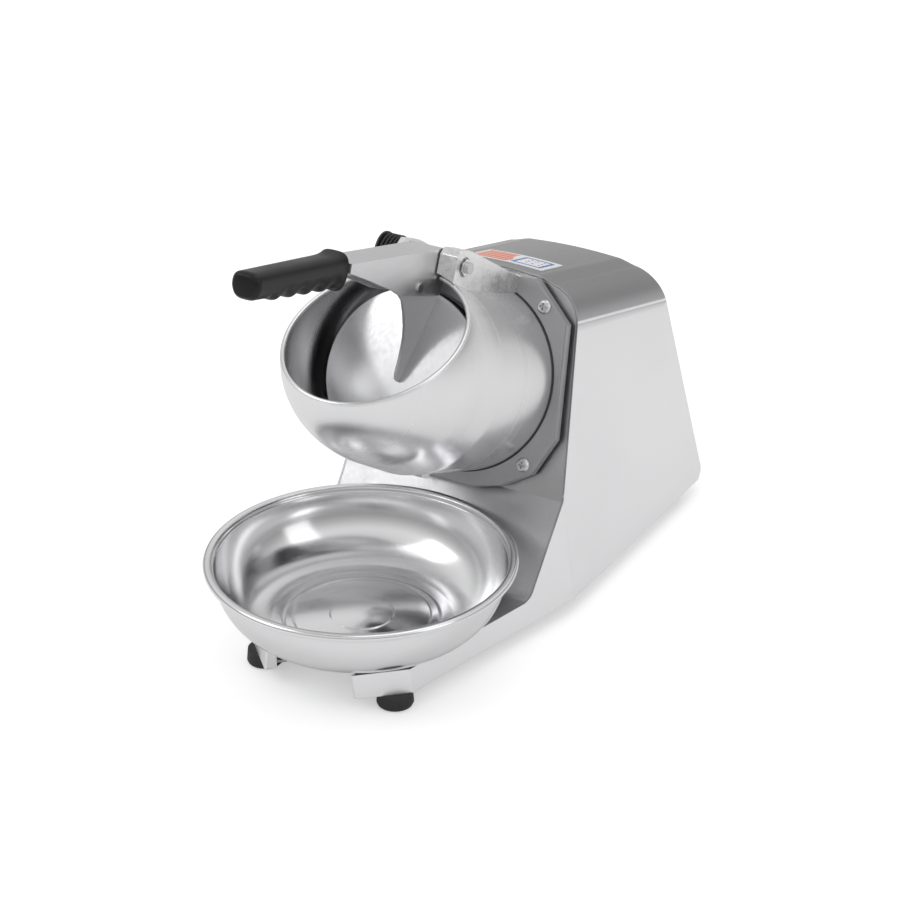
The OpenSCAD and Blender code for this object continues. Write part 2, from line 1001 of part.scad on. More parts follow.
// Least distance between points of the wire more than half a curl apart.
wire_gap = min([
  for (i = [0:len(wire_path) - 1], j = [i + 5:1:len(wire_path) - 1])
    norm(point3(wire_path[i]) - point3(wire_path[j])) - wire_d
]);
echo(least_wire_gap_mm = wire_gap);

// Lever

plate_in = lever_w / 2 - lever_t;
lever_back = -pin_fwd + 12;
rivet_at = [-115.4, 62.7];
rivet_r = 2.2;
plate_t = 2;
plate_up = 1.2;
tail_bend_z = 57;
tail_lean = 11.86;

// Front face of the press plate, at a height above the drum's axis.
function plate_face(z) = -plate_fwd + z * tan(plate_lean);

// Lower edge of the lever's arm, from its front end to the bend of its tail.
arm_edge = [
  [-lever_fwd, 69.5],
  [-183.5, 65.7],
  [-166, 62.4],
  [-151, 60],
  [-141, tail_bend_z]
];

// Edge of the leaning tail from the bend to its tip and back up along the plate.
tail_edge = [
  [-141, tail_bend_z],
  [-133, 52.9],
  [-124.3, 44],
  [-116.4, 34.6],
  [-111.2, 26],
  [-108, 18],
  [-105.3, 9.6],
  [-103.4, 1.2],
  [-101, -3.6],
  [-97.5, -5.6],
  [plate_face(-4) - eps, -4],
  [plate_face(tail_bend_z) - eps, tail_bend_z]
];
rear_edge = [[-83, 66], [lever_back, 76]];
over_plate_z = plate_up + plate_r + 0.6;
tail_rear = [
  [plate_face(tail_bend_z) - eps, tail_bend_z],
  [plate_face(over_plate_z) - eps, over_plate_z]
];
upper_edge = [[lever_back + 2, 90], [-93, lever_top_rear], [-lever_fwd, 76]];

module pin_and_rivet_holes() {
  translate(pin)
    circle(r = pin_r + fit_gap, $fn = 48);
  translate(rivet_at)
    circle(r = rivet_r + fit_gap, $fn = 32);
}

// The right side plate runs down into the tail. The left one ends above the plate.
module right_plate() {
  difference() {
    polygon(concat(upper_edge, arm_edge, tail_rear, rear_edge));
    pin_and_rivet_holes();
  }
}

module left_plate() {
  difference() {
    polygon(concat(
      upper_edge,
      [for (i = [0:3]) arm_edge[i]],
      [[-138, 57.5], [-120, 56.5], [-100, 58], [-91, 64]],
      rear_edge
    ));
    pin_and_rivet_holes();
  }
}

// The tail leans in from the bend, so its tip is in the middle of the press plate.
module tail() {
  translate([lever_w / 2, 0, tail_bend_z])
    rotate([0, tail_lean, 0])
      plate_x(-lever_t, 0)
        polygon([for (p = tail_edge) [p[0], (p[1] - tail_bend_z) / cos(tail_lean)]]);
}

// The lever is one folded sheet: two side plates and the top between them, with the
// grip's tang welded on.
module lever() {
  color([0.62, 0.62, 0.63])
    drum_frame()
      difference() {
        union() {
          plate_x(plate_in, lever_w / 2)
            right_plate();
          plate_x(-lever_w / 2, -plate_in)
            left_plate();
          tail();
          plate_x(-plate_in - eps, plate_in + eps)
            polygon([
              [lever_back + 2, 90],
              [-93, lever_top_rear],
              [-lever_fwd, 76],
              [-lever_fwd, 76 - lever_t],
              [-93, lever_top_rear - lever_t],
              [lever_back + 2, 90 - lever_t]
            ]);
          translate([0, -lever_fwd + 20, grip_mid + 1.5])
            rotate([grip_tilt, 0, 0])
              translate([-9, -grip_len - 5, -3])
                cube([18, grip_len + 5, 6]);
          translate([-plate_in - eps, -lever_fwd, 69])
            cube([2 * plate_in + 2 * eps, 4, 5.5]);
        }
        cross_rod(wire_d / 2 + 0.4, -30, 0, moving_hole, 24);
      }
}

// A round plate welded to the tail's rear edge. It pushes the ice onto the blades.
module press_plate() {
  color([0.85, 0.85, 0.86])
    drum_frame()
      translate([0, -plate_fwd, 0])
        rotate([-plate_lean, 0, 0])
          translate([0, 0, plate_up])
            rotate([-90, 0, 0])
              rotate_extrude($fn = 128)
                polygon([
                  [0, 0],
                  [plate_r - 0.5, 0],
                  [plate_r, 0.5],
                  [plate_r, plate_t],
                  [0, plate_t]
                ]);
}

module lever_bush() {
  color([0.75, 0.62, 0.3])
    drum_frame()
      difference() {
        cross_rod(6.5, -plate_in + eps, plate_in - eps, pin);
        cross_rod(pin_r + fit_gap, -30, 30, pin);
      }
}

// A shouldered rivet that holds the lever's two side plates apart.
module lever_rivet() {
  color([0.78, 0.78, 0.79])
    drum_frame() {
      cross_rod(rivet_r, -lever_w / 2 - 1, lever_w / 2 + 1, rivet_at, 32);
      cross_rod(rivet_r + 1.6, -plate_in + eps, plate_in - eps, rivet_at, 32);
      cross_rod(rivet_r + 1.3, lever_w / 2 + eps, lever_w / 2 + 1.2, rivet_at, 32);
      cross_rod(rivet_r + 1.3, -lever_w / 2 - 1.2, -lever_w / 2 - eps, rivet_at, 32);
    }
}

// Grip: a closed sleeve with a guard at the back and four finger hollows below.
grip_rings = 44;
grip_sides = 24;
finger_pitch = 18;
guard_h = 6;
finger_first = 20;
function hump(s, w) = exp(-pow((s - 0.03) / w, 2));
function fingers(s) = s > 0.12 && s < 0.82 ? cos(360 * (s * grip_len - finger_first) / finger_pitch) : 0;
function grip_top(s) = grip_h * 0.42 - 1.2 * s + guard_h * 0.5 * hump(s, 0.07);
function grip_under(s) = grip_h * 0.44 - 2.6 * s - 1.5 * fingers(s) + guard_h * 0.75 * hump(s, 0.05);
function grip_half(s) = grip_w / 2 * (0.94 - 0.04 * s) + guard_h * 0.4 * hump(s, 0.05);
function end_round(s) =
  s > 0.95 ? sqrt(1 - pow((s - 0.95) / 0.062, 2)) : (s < 0.03 ? 0.75 + 0.25 * s / 0.03 : 1);

function grip_ring(s) = [
  for (k = [0:grip_sides - 1])
    let (
      a = 360 * k / grip_sides,
      e = end_round(s),
      cx = cos(a),
      cz = sin(a),
      x = grip_half(s) * e * sign(cx) * pow(abs(cx), 0.62),
      z = (cz > 0 ? grip_top(s) : grip_under(s)) * e * sign(cz) * pow(abs(cz), 0.62)
    )
      [x * (cz < 0 ? 1 - 0.2 * pow(-cz, 0.62) : 1), -s * grip_len, z]
];

module grip() {
  rings = [for (i = [0:grip_rings]) grip_ring(i / grip_rings)];
  pts = [for (r = rings, p = r) p];
  n = grip_sides;
  faces = concat(
    [[for (k = [0:n - 1]) k]],
    [
      for (i = [0:grip_rings - 1], k = [0:n - 1])
        let (k2 = (k + 1) % n)
          [i * n + k, (i + 1) * n + k, (i + 1) * n + k2, i * n + k2]
    ],
    [[for (k = [n - 1:-1:0]) grip_rings * n + k]]
  );
  color([0.06, 0.06, 0.06])
    drum_frame()
      difference() {
        translate([0, grip_rear, grip_mid])
          rotate([grip_tilt, 0, 0])
            polyhedron(points = pts, faces = faces, convexity = 4);
        translate([0, -lever_fwd + 20, grip_mid + 1.5])
          rotate([grip_tilt, 0, 0])
            translate([-9 - eps, -grip_len - 5 - eps, -3 - eps])
              cube([18 + 2 * eps, grip_len + 30, 6 + 2 * eps]);
        translate([-lever_w, -lever_fwd - eps, 60])
          cube([2 * lever_w, 40, 40]);
      }
}

// Cutting disc and drive

nut_r = 13;
nut_h = 7;
blade_len = 38;
blade_mid = 36;
blade_turn = 20;
slot_w = 8;
function blade_angles() = [for (i = [0:blades_n - 1]) 90 + blade_turn + 360 * i / blades_n];

module blade_disc() {
  color([0.8, 0.8, 0.81])
    drum_frame()
      difference() {
        union() {
          axle(disc_r, disc_front, disc_back, 128);
          axle(20, disc_back - eps, disc_back + 12);
        }
        axle(shaft_r + fit_gap, -200, 50);
        axle(nut_r + 1, disc_front - 1, disc_front + nut_h);
        for (a = blade_angles())
          rotate([0, -a, 0])
            translate([blade_mid - blade_len / 2, disc_front - 1, -slot_w / 2])
              cube([blade_len, disc_t + 2, slot_w]);
      }
}

blade_t = 2;
module blades() {
  color([0.72, 0.73, 0.75])
    drum_frame()
      for (a = blade_angles())
        rotate([0, -a, 0])
          difference() {
            translate([blade_mid - blade_len / 2 + 0.5, disc_front - 1.3, slot_w / 2 + 0.2])
              rotate([-18, 0, 0])
                translate([0, -0.2, -5.5])
                  cube([blade_len - 1, blade_t, 5.2]);
            translate([-100, disc_front - 31.8, -30])
              cube([200, 30, 60]);
          }
}

module blade_screws() {
  color([0.6, 0.6, 0.6])
    drum_frame()
      for (a = blade_angles(), x = [blade_mid - 12, blade_mid + 12])
        rotate([0, -a, 0])
          translate([x, disc_front - eps, slot_w / 2 + 6])
            rotate([90, 0, 0])
              cylinder(r = 3, h = 1.5, $fn = 32);
}

// The nut and the shaft's end are sunk below the disc's face.
module disc_nut() {
  color([0.7, 0.7, 0.71])
    drum_frame()
      difference() {
        translate([0, disc_front + nut_h - eps, 0])
          rotate([90, 0, 0])
            cylinder(r = nut_r, h = nut_h - 1, $fn = 6);
        axle(shaft_r + fit_gap, -200, 50);
      }
}

shaft_front = disc_front + 0.5;
shaft_back = motor_end + 26;
module drive_shaft() {
  color([0.7, 0.7, 0.72])
    drum_frame()
      axle(shaft_r, shaft_front, shaft_back);
}

rotor_r = 24;
module rotor() {
  color([0.5, 0.42, 0.35])
    drum_frame()
      difference() {
        axle(rotor_r, motor_back + 18, motor_end - 20);
        axle(shaft_r + fit_gap, -200, 400);
      }
}

fan_r = 32;
module fan() {
  color([0.15, 0.15, 0.15])
    drum_frame()
      difference() {
        union() {
          axle(fan_r, motor_end + 10, motor_end + 12);
          axle(14, motor_end + 10, motor_end + 22);
          for (i = [0:6])
            rotate([0, i * 360 / 7, 0])
              translate([10, motor_end + 11, -1])
                cube([fan_r - 11, 10, 2]);
        }
        axle(shaft_r + fit_gap, -200, 400);
      }
}

block_r = 38;
module bearing_block() {
  color([0.65, 0.65, 0.66])
    drum_frame()
      difference() {
        union() {
          axle(block_r, pad_back + sheet + 3, pad_back + sheet + 24);
          translate([0, pad_back + sheet + 6, 0])
            rotate([90, 0, 0])
              linear_extrude(6)
                octagon(68, 18);
        }
        axle(20 + fit_gap, pad_back + sheet - 5, pad_back + sheet + 14);
        axle(shaft_r + 2, -20, 100);
        for (p = screw_spots())
          translate([p[0], 0, p[1]])
            axle(screw_r + fit_gap, -1, 40, 24);
      }
}

module bearing(y0) {
  color([0.75, 0.75, 0.77])
    drum_frame()
      difference() {
        axle(20, y0, y0 + 12);
        axle(shaft_r + fit_gap, -20, 400);
        for (d = [-1, 11])
          difference() {
            axle(16, y0 + d, y0 + d + 2);
            axle(12, y0 + d - 1, y0 + d + 3);
          }
      }
}

module front_bearing() {
  bearing(pad_back + sheet + 1.9);
}

module rear_bearing() {
  bearing(motor_end - 13);
}

module motor_can() {
  color([0.25, 0.25, 0.26])
    drum_frame()
      difference() {
        axle(motor_r, motor_back, motor_end, 96);
        axle(motor_r - 3, motor_back + 6, motor_end + 1, 96);
        axle(shaft_r + 2, -20, 400);
        for (p = tie_spots())
          translate([p[0], 0, p[1]])
            axle(2.2, -20, motor_back + 8, 24);
      }
}

function tie_spots() = [for (a = [45:90:315]) 34 * [cos(a), sin(a)]];

module stator() {
  color([0.55, 0.35, 0.2])
    drum_frame()
      difference() {
        axle(motor_r - 3 - fit_gap, motor_back + 20, motor_end - 22, 96);
        axle(rotor_r + 1.2, -20, 400);
      }
}

module motor_cap() {
  color([0.6, 0.6, 0.61])
    drum_frame()
      difference() {
        union() {
          axle(motor_r, motor_end + eps, motor_end + 4, 96);
          axle(26, motor_end - 14, motor_end + 1);
        }
        axle(20 + fit_gap, motor_end - 20, motor_end - 1);
        axle(shaft_r + 2, -20, 400);
      }
}

// Two upright plates that carry the motor on the base plate.
cradle_spots = [[30, 102], [88, 80]];
module motor_cradle() {
  color([0.5, 0.5, 0.51])
    difference() {
      on_floor()
        for (p = cradle_spots)
          translate([-40, drum_back + p[0], body_z + 2]) {
            cube([80, 4, p[1]]);
            cube([80, 18, 3]);
          }
      drum_frame() {
        axle(motor_r + fit_gap, motor_back - 20, motor_end + 2, 96);
        translate([-big / 2, -100, 0])
          cube([big, 400, 200]);
        translate([-big / 2, motor_end + eps - 1, -100])
          cube([big, 300, 200]);
      }
    }
}

module capacitor() {
  color([0.85, 0.85, 0.83])
    on_floor()
      translate([70, rear_y - 130, body_z + 2])
        cylinder(r = 15, h = 62, $fn = 48);
}

module terminal_block() {
  color([0.9, 0.9, 0.86])
    on_floor()
      translate([-84, rear_y - 130, body_z + 2])
        difference() {
          cube([20, 48, 16]);
          for (i = [0:3])
            translate([10, 7 + i * 11.5, 10])
              cylinder(r = 3.4, h = 10, $fn = 24);
        }
}

// Rear fittings

rocker_turn = 9;
rocker_in = -5;
rocker_pin_r = 1.5;
module switch_frame() {
  color([0.08, 0.08, 0.08])
    rear_frame()
      translate([switch_at[0], 0, switch_at[1]])
        difference() {
          union() {
            translate([-switch_w / 2 - 2, -2, -switch_h / 2 - 2])
              cube([switch_w + 4, 2.5, switch_h + 4]);
            translate([-switch_w / 2 + 0.2, -24, -switch_h / 2 + 0.2])
              cube([switch_w - 0.4, 23, switch_h - 0.4]);
          }
          translate([-switch_w / 2 + 3, -16, -switch_h / 2 + 2.4])
            cube([switch_w - 6, 30, switch_h - 4.8]);
          cross_rod(rocker_pin_r + fit_gap, -switch_w / 2 + 1.2, switch_w / 2 - 1.2, [rocker_in, 0], 32);
        }
}

rocker_half = switch_h / 2 - 3.9;
module switch_rocker() {
  color([0.55, 0.04, 0.04])
    rear_frame()
      translate([switch_at[0], rocker_in, switch_at[1]])
        rotate([rocker_turn, 0, 0]) {
          cross_rod(rocker_pin_r, -switch_w / 2 + 1.5, switch_w / 2 - 1.5, [0, 0], 32);
          plate_x(-switch_w / 2 + 3.5, switch_w / 2 - 3.5)
            polygon([
              [-6, -4],
              [2.5, -rocker_half],
              [6.6, -rocker_half],
              [5.2, 0],
              [6.6, rocker_half],
              [2.5, rocker_half],
              [-6, 4]
            ]);
        }
}

module cord_gland() {
  color([0.08, 0.08, 0.08])
    rear_frame()
      translate([gland_at[0], 0, gland_at[1]])
        difference() {
          union() {
            translate([0, 4, 0])
              rotate([90, 0, 0])
                cylinder(r = 12, h = 6, $fn = 6);
            translate([0, gland_out, 0])
              rotate([90, 0, 0])
                cylinder(r = gland_tube_r, h = 9, $fn = 48);
            rotate([90, 0, 0])
              cylinder(r = gland_r - fit_gap, h = 14, $fn = 48);
          }
          translate([0, 20, 0])
            rotate([90, 0, 0])
              cylinder(r = 4, h = 50, $fn = 48);
        }
}

rear_screw_spots = [[-80, 20], [80, 20], [-62, 150], [62, 150]];
module rear_screws() {
  color([0.72, 0.72, 0.73])
    rear_frame()
      for (p = rear_screw_spots)
        translate([p[0], -1.95, p[1]])
          rotate([-90, 0, 0])
            cylinder(r = 3.5, h = 1.8, $fn = 32);
}

label_w = 62;
label_l = 34;
label_t = 0.4;
module roof_label() {
  color([0.85, 0.25, 0.2])
    on_floor()
      intersection() {
        difference() {
          body_solid(-label_t);
          body_solid(-0.02);
        }
        translate([-label_w / 2, roof_front_y + 14, roof_z - 60])
          cube([label_w, label_l, 100]);
      }
}

// Bowl

bowl_steps = 10;
wall_top = bowl_h - 4;
ring_h = 1.6;
// Outside of the bowl from the foot ring up to the rim.
function bowl_wall(t) = [
  for (i = [0:bowl_steps])
    let (a = 90 * i / bowl_steps)
      [
        bowl_foot_r + 2 - t * 0.6 + (bowl_r - 6 - bowl_foot_r - 2) * pow(sin(a), 0.9),
        wall_top - (wall_top - 1) * pow(cos(a), 1.1) + t * cos(a)
      ]
];

module bowl() {
  t = bowl_t;
  outer = concat(
    [[0, ring_h], [bowl_foot_r - 8, ring_h], [bowl_foot_r - 6, 0], [bowl_foot_r, 0]],
    bowl_wall(0),
    [[bowl_r - bead_r, bowl_h - 2 * bead_r + 1], [bowl_r, bowl_h - bead_r], [bowl_r - bead_r, bowl_h]]
  );
  inner = concat(
    [[bowl_r - bead_r - 3, bowl_h - 0.6], [bowl_r - 6 - t, wall_top - 0.4]],
    [for (i = [bowl_steps - 1:-1:0]) bowl_wall(t)[i] + [-t * sin(90 * i / bowl_steps), 0]],
    [[bowl_foot_r - 4, t + 0.2], [bowl_foot_r - 6.5, t + ring_h], [49, t + ring_h], [48, t + ring_h + 1.2]],
    [[23, t + ring_h + 1.2], [22, t + ring_h + 2.2], [0, t + ring_h + 2.2]]
  );
  color([0.9, 0.9, 0.91])
    on_floor()
      translate([0, 0, bowl_base])
        rotate_extrude($fn = 128)
          polygon(concat(outer, inner));
}

// Places that the record needs

function to_row(p) = [
  p[0],
  drum_back - mid_y + p[1] * cos(tilt) + p[2] * sin(tilt),
  drum_z - p[1] * sin(tilt) + p[2] * cos(tilt)
];
function rear_to_row(p) = [
  p[0],
  rear_y - mid_y + p[1] * cos(rear_lean) - p[2] * sin(rear_lean),
  body_z + p[1] * sin(rear_lean) + p[2] * cos(rear_lean)
];
echo(mid_y = mid_y);
echo(hinge_pin_at = to_row([0, -pin_fwd, pin_up]));
echo(drum_axis_at = to_row([0, 0, 0]), drum_axis = [0, cos(tilt), -sin(tilt)]);
echo(rocker_at = rear_to_row([switch_at[0], rocker_in, switch_at[1]]));
echo(bowl_at = [0, -mid_y, bowl_base], bowl_rim_z = bowl_rim_z);

hood();
arm_left();
arm_right();
front_panel();
rear_panel();
base_plate();
foot_front_left();
foot_front_right();
foot_rear_left();
foot_rear_right();
foot_screws();
drum();
drum_nose();
drum_flange();
drum_pad();
flange_screws();
drum_bolt();
hinge_bracket();
hinge_pin();
hinge_nut();
spring_sleeve();
return_spring();
lever();
press_plate();
lever_bush();
lever_rivet();
grip();
blade_disc();
blades();
blade_screws();
disc_nut();
drive_shaft();
rotor();
fan();
bearing_block();
front_bearing();
rear_bearing();
motor_can();
stator();
motor_cap();
motor_cradle();
capacitor();
terminal_block();
switch_frame();
switch_rocker();
cord_gland();
rear_screws();
roof_label();
bowl();
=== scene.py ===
import math

import bmesh
import bpy
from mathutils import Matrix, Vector

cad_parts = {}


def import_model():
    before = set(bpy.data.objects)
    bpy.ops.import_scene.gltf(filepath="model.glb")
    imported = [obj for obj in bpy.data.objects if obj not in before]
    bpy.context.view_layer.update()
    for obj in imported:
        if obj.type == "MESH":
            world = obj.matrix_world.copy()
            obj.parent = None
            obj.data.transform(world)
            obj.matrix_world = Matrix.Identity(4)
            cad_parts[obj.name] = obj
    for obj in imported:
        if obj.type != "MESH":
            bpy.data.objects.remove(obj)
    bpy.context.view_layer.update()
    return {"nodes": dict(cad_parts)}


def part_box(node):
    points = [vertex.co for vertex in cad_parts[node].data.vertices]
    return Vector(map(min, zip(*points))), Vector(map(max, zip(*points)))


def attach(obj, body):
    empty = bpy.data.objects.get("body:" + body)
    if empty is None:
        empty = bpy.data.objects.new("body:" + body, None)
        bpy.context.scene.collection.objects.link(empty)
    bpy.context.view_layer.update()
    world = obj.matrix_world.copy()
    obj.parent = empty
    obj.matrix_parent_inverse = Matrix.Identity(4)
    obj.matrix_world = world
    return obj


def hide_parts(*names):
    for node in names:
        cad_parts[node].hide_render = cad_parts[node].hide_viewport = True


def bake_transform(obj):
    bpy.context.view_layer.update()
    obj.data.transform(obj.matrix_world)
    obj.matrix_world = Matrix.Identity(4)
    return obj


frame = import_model()
NODES = frame["nodes"]
MM = 0.001

# Frames shared with the CAD source, in millimetres

TILT = math.radians(21.5)
MID_Y = 115.955
DRUM_AT = (0.0, 143.0 - MID_Y, 162.5)
PIN = (-85.0, 81.0)


def drum_point(x, ly, lz):
    """A point of the drum's frame, in millimetres, as a point of the row frame in metres."""
    y = DRUM_AT[1] + ly * math.cos(TILT) + lz * math.sin(TILT)
    z = DRUM_AT[2] - ly * math.sin(TILT) + lz * math.cos(TILT)
    return Vector((x * MM, y * MM, z * MM))


# Node helpers

MID = (0.3, 0.7)  # the range that most of a noise lies in
EDGE_FROM, EDGE_TO = 0.52, 0.62  # pointiness where an edge starts to look worn, and where it is


class Nodes:
    """A small builder for one node tree."""

    def __init__(self, tree):
        self.tree = tree
        tree.nodes.clear()

    def put(self, node, key, value):
        """Link a socket to an input, or set the input's own value."""
        if isinstance(value, bpy.types.NodeSocket):
            self.tree.links.new(value, node.inputs[key])
        else:
            node.inputs[key].default_value = value

    def add(self, kind, inputs=None, **settings):
        n = self.tree.nodes.new(kind)
        for key, value in settings.items():
            setattr(n, key, value)
        for key, value in (inputs or {}).items():
            self.put(n, key, value)
        return n

    def coords(self):
        return self.add("ShaderNodeTexCoord").outputs["Object"]

    def mapped(self, vector, scale=(1, 1, 1), turn=(0, 0, 0), shift=(0, 0, 0)):
        inputs = {"Vector": vector, "Scale": scale, "Rotation": turn, "Location": shift}
        return self.add("ShaderNodeMapping", inputs).outputs["Vector"]

    def noise(self, vector, scale, detail=3.0, rough=0.5):
        inputs = {"Vector": vector, "Scale": scale, "Detail": detail, "Roughness": rough}
        return self.add("ShaderNodeTexNoise", inputs).outputs["Fac"]

    def cells(self, vector, scale, randomness=1.0):
        inputs = {"Vector": vector, "Scale": scale, "Randomness": randomness}
        return self.add("ShaderNodeTexVoronoi", inputs).outputs["Distance"]

    def math(self, kind, a, b=0.0):
        return self.add("ShaderNodeMath", {0: a, 1: b}, operation=kind).outputs[0]

    def off(self, value, centre):
        """How far a value is from a centre."""
        return self.math("ABSOLUTE", self.math("SUBTRACT", value, centre))

    def length(self, a, b):
        squares = [self.math("MULTIPLY", c, c) for c in (a, b)]
        return self.math("SQRT", self.math("ADD", *squares))

    def between(self, value, lo, hi, to_lo=0.0, to_hi=1.0):
        inputs = {"Value": value, "From Min": lo, "From Max": hi, "To Min": to_lo, "To Max": to_hi}
        return self.add("ShaderNodeMapRange", inputs).outputs["Result"]

    def mix(self, fac, a, b):
        return self.add("ShaderNodeMix", {0: fac, 6: a, 7: b}, data_type="RGBA").outputs[2]

    def bump(self, height, strength, distance, normal=None):
        inputs = {"Height": height, "Strength": strength, "Distance": distance}
        if normal is not None:
            inputs["Normal"] = normal
        return self.add("ShaderNodeBump", inputs).outputs["Normal"]

    def bevel(self, radius):
        return self.add("ShaderNodeBevel", {"Radius": radius}, samples=4).outputs["Normal"]

    def split(self, vector):
        return self.add("ShaderNodeSeparateXYZ", {"Vector": vector}).outputs

    def facing_up(self):
        return self.split(self.add("ShaderNodeNewGeometry").outputs["Normal"])[2]

    def on_edges(self, tone, edge_tone, amount, full=EDGE_TO):
        """Tone, with some edge_tone where the mesh stands out in an edge."""
        point = self.add("ShaderNodeNewGeometry").outputs["Pointiness"]
        return self.mix(self.between(point, EDGE_FROM, full, 0.0, amount), tone, edge_tone)


def rgba(v):
    """A colour from one grey value or from three numbers."""
    return (v, v, v, 1.0) if isinstance(v, (int, float)) else (*v, 1.0)


def shade(colour, factor, lift=0.0):
    return rgba([min(1.0, c * factor + lift) for c in colour])


def new_material(name):
    m = bpy.data.materials.new(name)
    m.use_nodes = True
    return m, Nodes(m.node_tree)


def surface(t, colour, rough, normal, metallic=1.0, **sockets):
    inputs = {"Base Color": colour, "Roughness": rough, "Normal": normal, "Metallic": metallic}
    inputs.update({key.replace("_", " "): value for key, value in sockets.items()})
    shader = t.add("ShaderNodeBsdfPrincipled", inputs)
    t.add("ShaderNodeOutputMaterial", {"Surface": shader.outputs[0]})


# Materials. streak scales the noise along x, y and z, and is small along the lines of the metal.


def metal(name, colour, rough=0.25, streak=(1, 1, 1), streak_scale=400, streak_depth=0.15,
          mottle=0.06, wave=0.0, edge=0.0006, worn=0.12, spin=False, spread=0.08, line_tone=0.35):
    """Brushed, spun or satin metal: fine lines, cloudy tone, soft waves in the sheet, worn edges."""
    m, t = new_material(name)
    at = t.coords()
    if spin:
        at = drum_axis_coords(t, at)
    lines = t.noise(t.mapped(at, streak), streak_scale, 4.0, 0.6)
    cloud = t.noise(at, 9.0, 4.0, 0.55)
    spots = t.noise(at, 60.0, 3.0, 0.6)
    tone = t.mix(t.between(cloud, *MID), shade(colour, 1 - mottle), shade(colour, 1 + mottle))
    tone = t.mix(t.between(lines, *MID, 0.0, line_tone), tone, shade(colour, 0.88))
    tone = t.on_edges(tone, shade(colour, 1.25), worn)
    r = t.between(lines, 0.25, 0.75, rough - spread * rough * 2, rough + spread * rough * 2)
    r = t.math("ADD", r, t.between(spots, 0.35, 0.7, -0.02, 0.03))
    normal = t.bump(lines, streak_depth, 0.00012, t.bevel(edge))
    if wave:
        normal = t.bump(t.noise(at, 6.0, 1.0, 0.4), wave, 0.004, normal)
    surface(t, tone, r, normal)
    return m


def drum_axis_coords(t, at):
    """Object coordinates turned to the drum's axis, for spun lines: a little of x, along, radius."""
    moved = t.mapped(at, shift=(0, -DRUM_AT[1] * MM, -DRUM_AT[2] * MM))
    x, along, z = t.split(t.mapped(moved, turn=(TILT, 0, 0)))
    inputs = {0: t.math("MULTIPLY", x, 0.03), 1: along, 2: t.length(x, z)}
    return t.add("ShaderNodeCombineXYZ", inputs).outputs[0]


def plain(name, colour, rough=0.5, grain=900, grain_depth=0.2, tone=0.15, metallic=0.0, **sockets):
    """Plastic, rubber or paint with a fine moulded grain and a cloudy tone."""
    m, t = new_material(name)
    at = t.coords()
    cloud = t.noise(at, 25.0, 4.0, 0.6)
    fine = t.noise(at, grain, 3.0, 0.6)
    col = t.mix(cloud, shade(colour, 1 - tone), shade(colour, 1 + tone))
    col = t.on_edges(col, shade(colour, 1.6, 0.02), 0.25, 0.65)
    r = t.between(cloud, *MID, rough * 0.85, min(1.0, rough * 1.15))
    surface(t, col, r, t.bump(fine, grain_depth, 0.0002, t.bevel(0.0004)), metallic, **sockets)
    return m


def cast(name, colour, rough):
    """Sand-cast aluminium, ground and tumbled: mottled patches and small pits."""
    m, t = new_material(name)
    at = t.coords()
    blotch = t.noise(at, 90.0, 5.0, 0.7)
    pits = t.cells(at, 520.0)
    col = t.mix(t.between(blotch, 0.38, 0.62), shade(colour, 0.84), shade(colour, 1.08))
    col = t.on_edges(col, shade(colour, 1.3), 0.4)
    r = t.between(blotch, 0.35, 0.65, rough * 0.7, rough * 1.25)
    normal = t.bump(blotch, 0.18, 0.0005, t.bump(pits, 0.10, 0.0003, t.bevel(0.0008)))
    surface(t, col, r, normal)
    return m


def housing_steel():
    """The housing's steel, with long soft waves in the sheet. The roof is smoother and has a painted dark
    reflection: faces that point up get a much darker copy of the steel's colour.
    """
    m, t = new_material("satin_steel")
    at = t.coords()
    lines = t.noise(t.mapped(at, (1, 0.02, 1)), 700.0, 3.0, 0.6)
    cloud = t.between(t.noise(at, 5.0, 3.0, 0.5), *MID)
    # painted dark reflection: a mask of the faces that point up, which get the darker copy of the colour
    # below
    roof = t.between(t.facing_up(), 0.17, 0.23)
    side = t.mix(cloud, rgba((0.88, 0.88, 0.89)), rgba((0.92, 0.92, 0.93)))
    # painted dark reflection on the roof: the same steel at about half the brightness of the sides
    top = t.mix(cloud, rgba((0.40, 0.40, 0.41)), rgba((0.46, 0.46, 0.47)))
    r = t.math("ADD", t.between(lines, *MID, 0.44, 0.52), t.math("MULTIPLY", roof, -0.16))
    fine = t.bump(lines, 0.05, 0.0001, t.bevel(0.0007))
    normal = t.bump(t.noise(at, 4.0, 1.0, 0.4), 0.05, 0.003, fine)
    surface(t, t.mix(roof, side, top), r, normal)
    return m


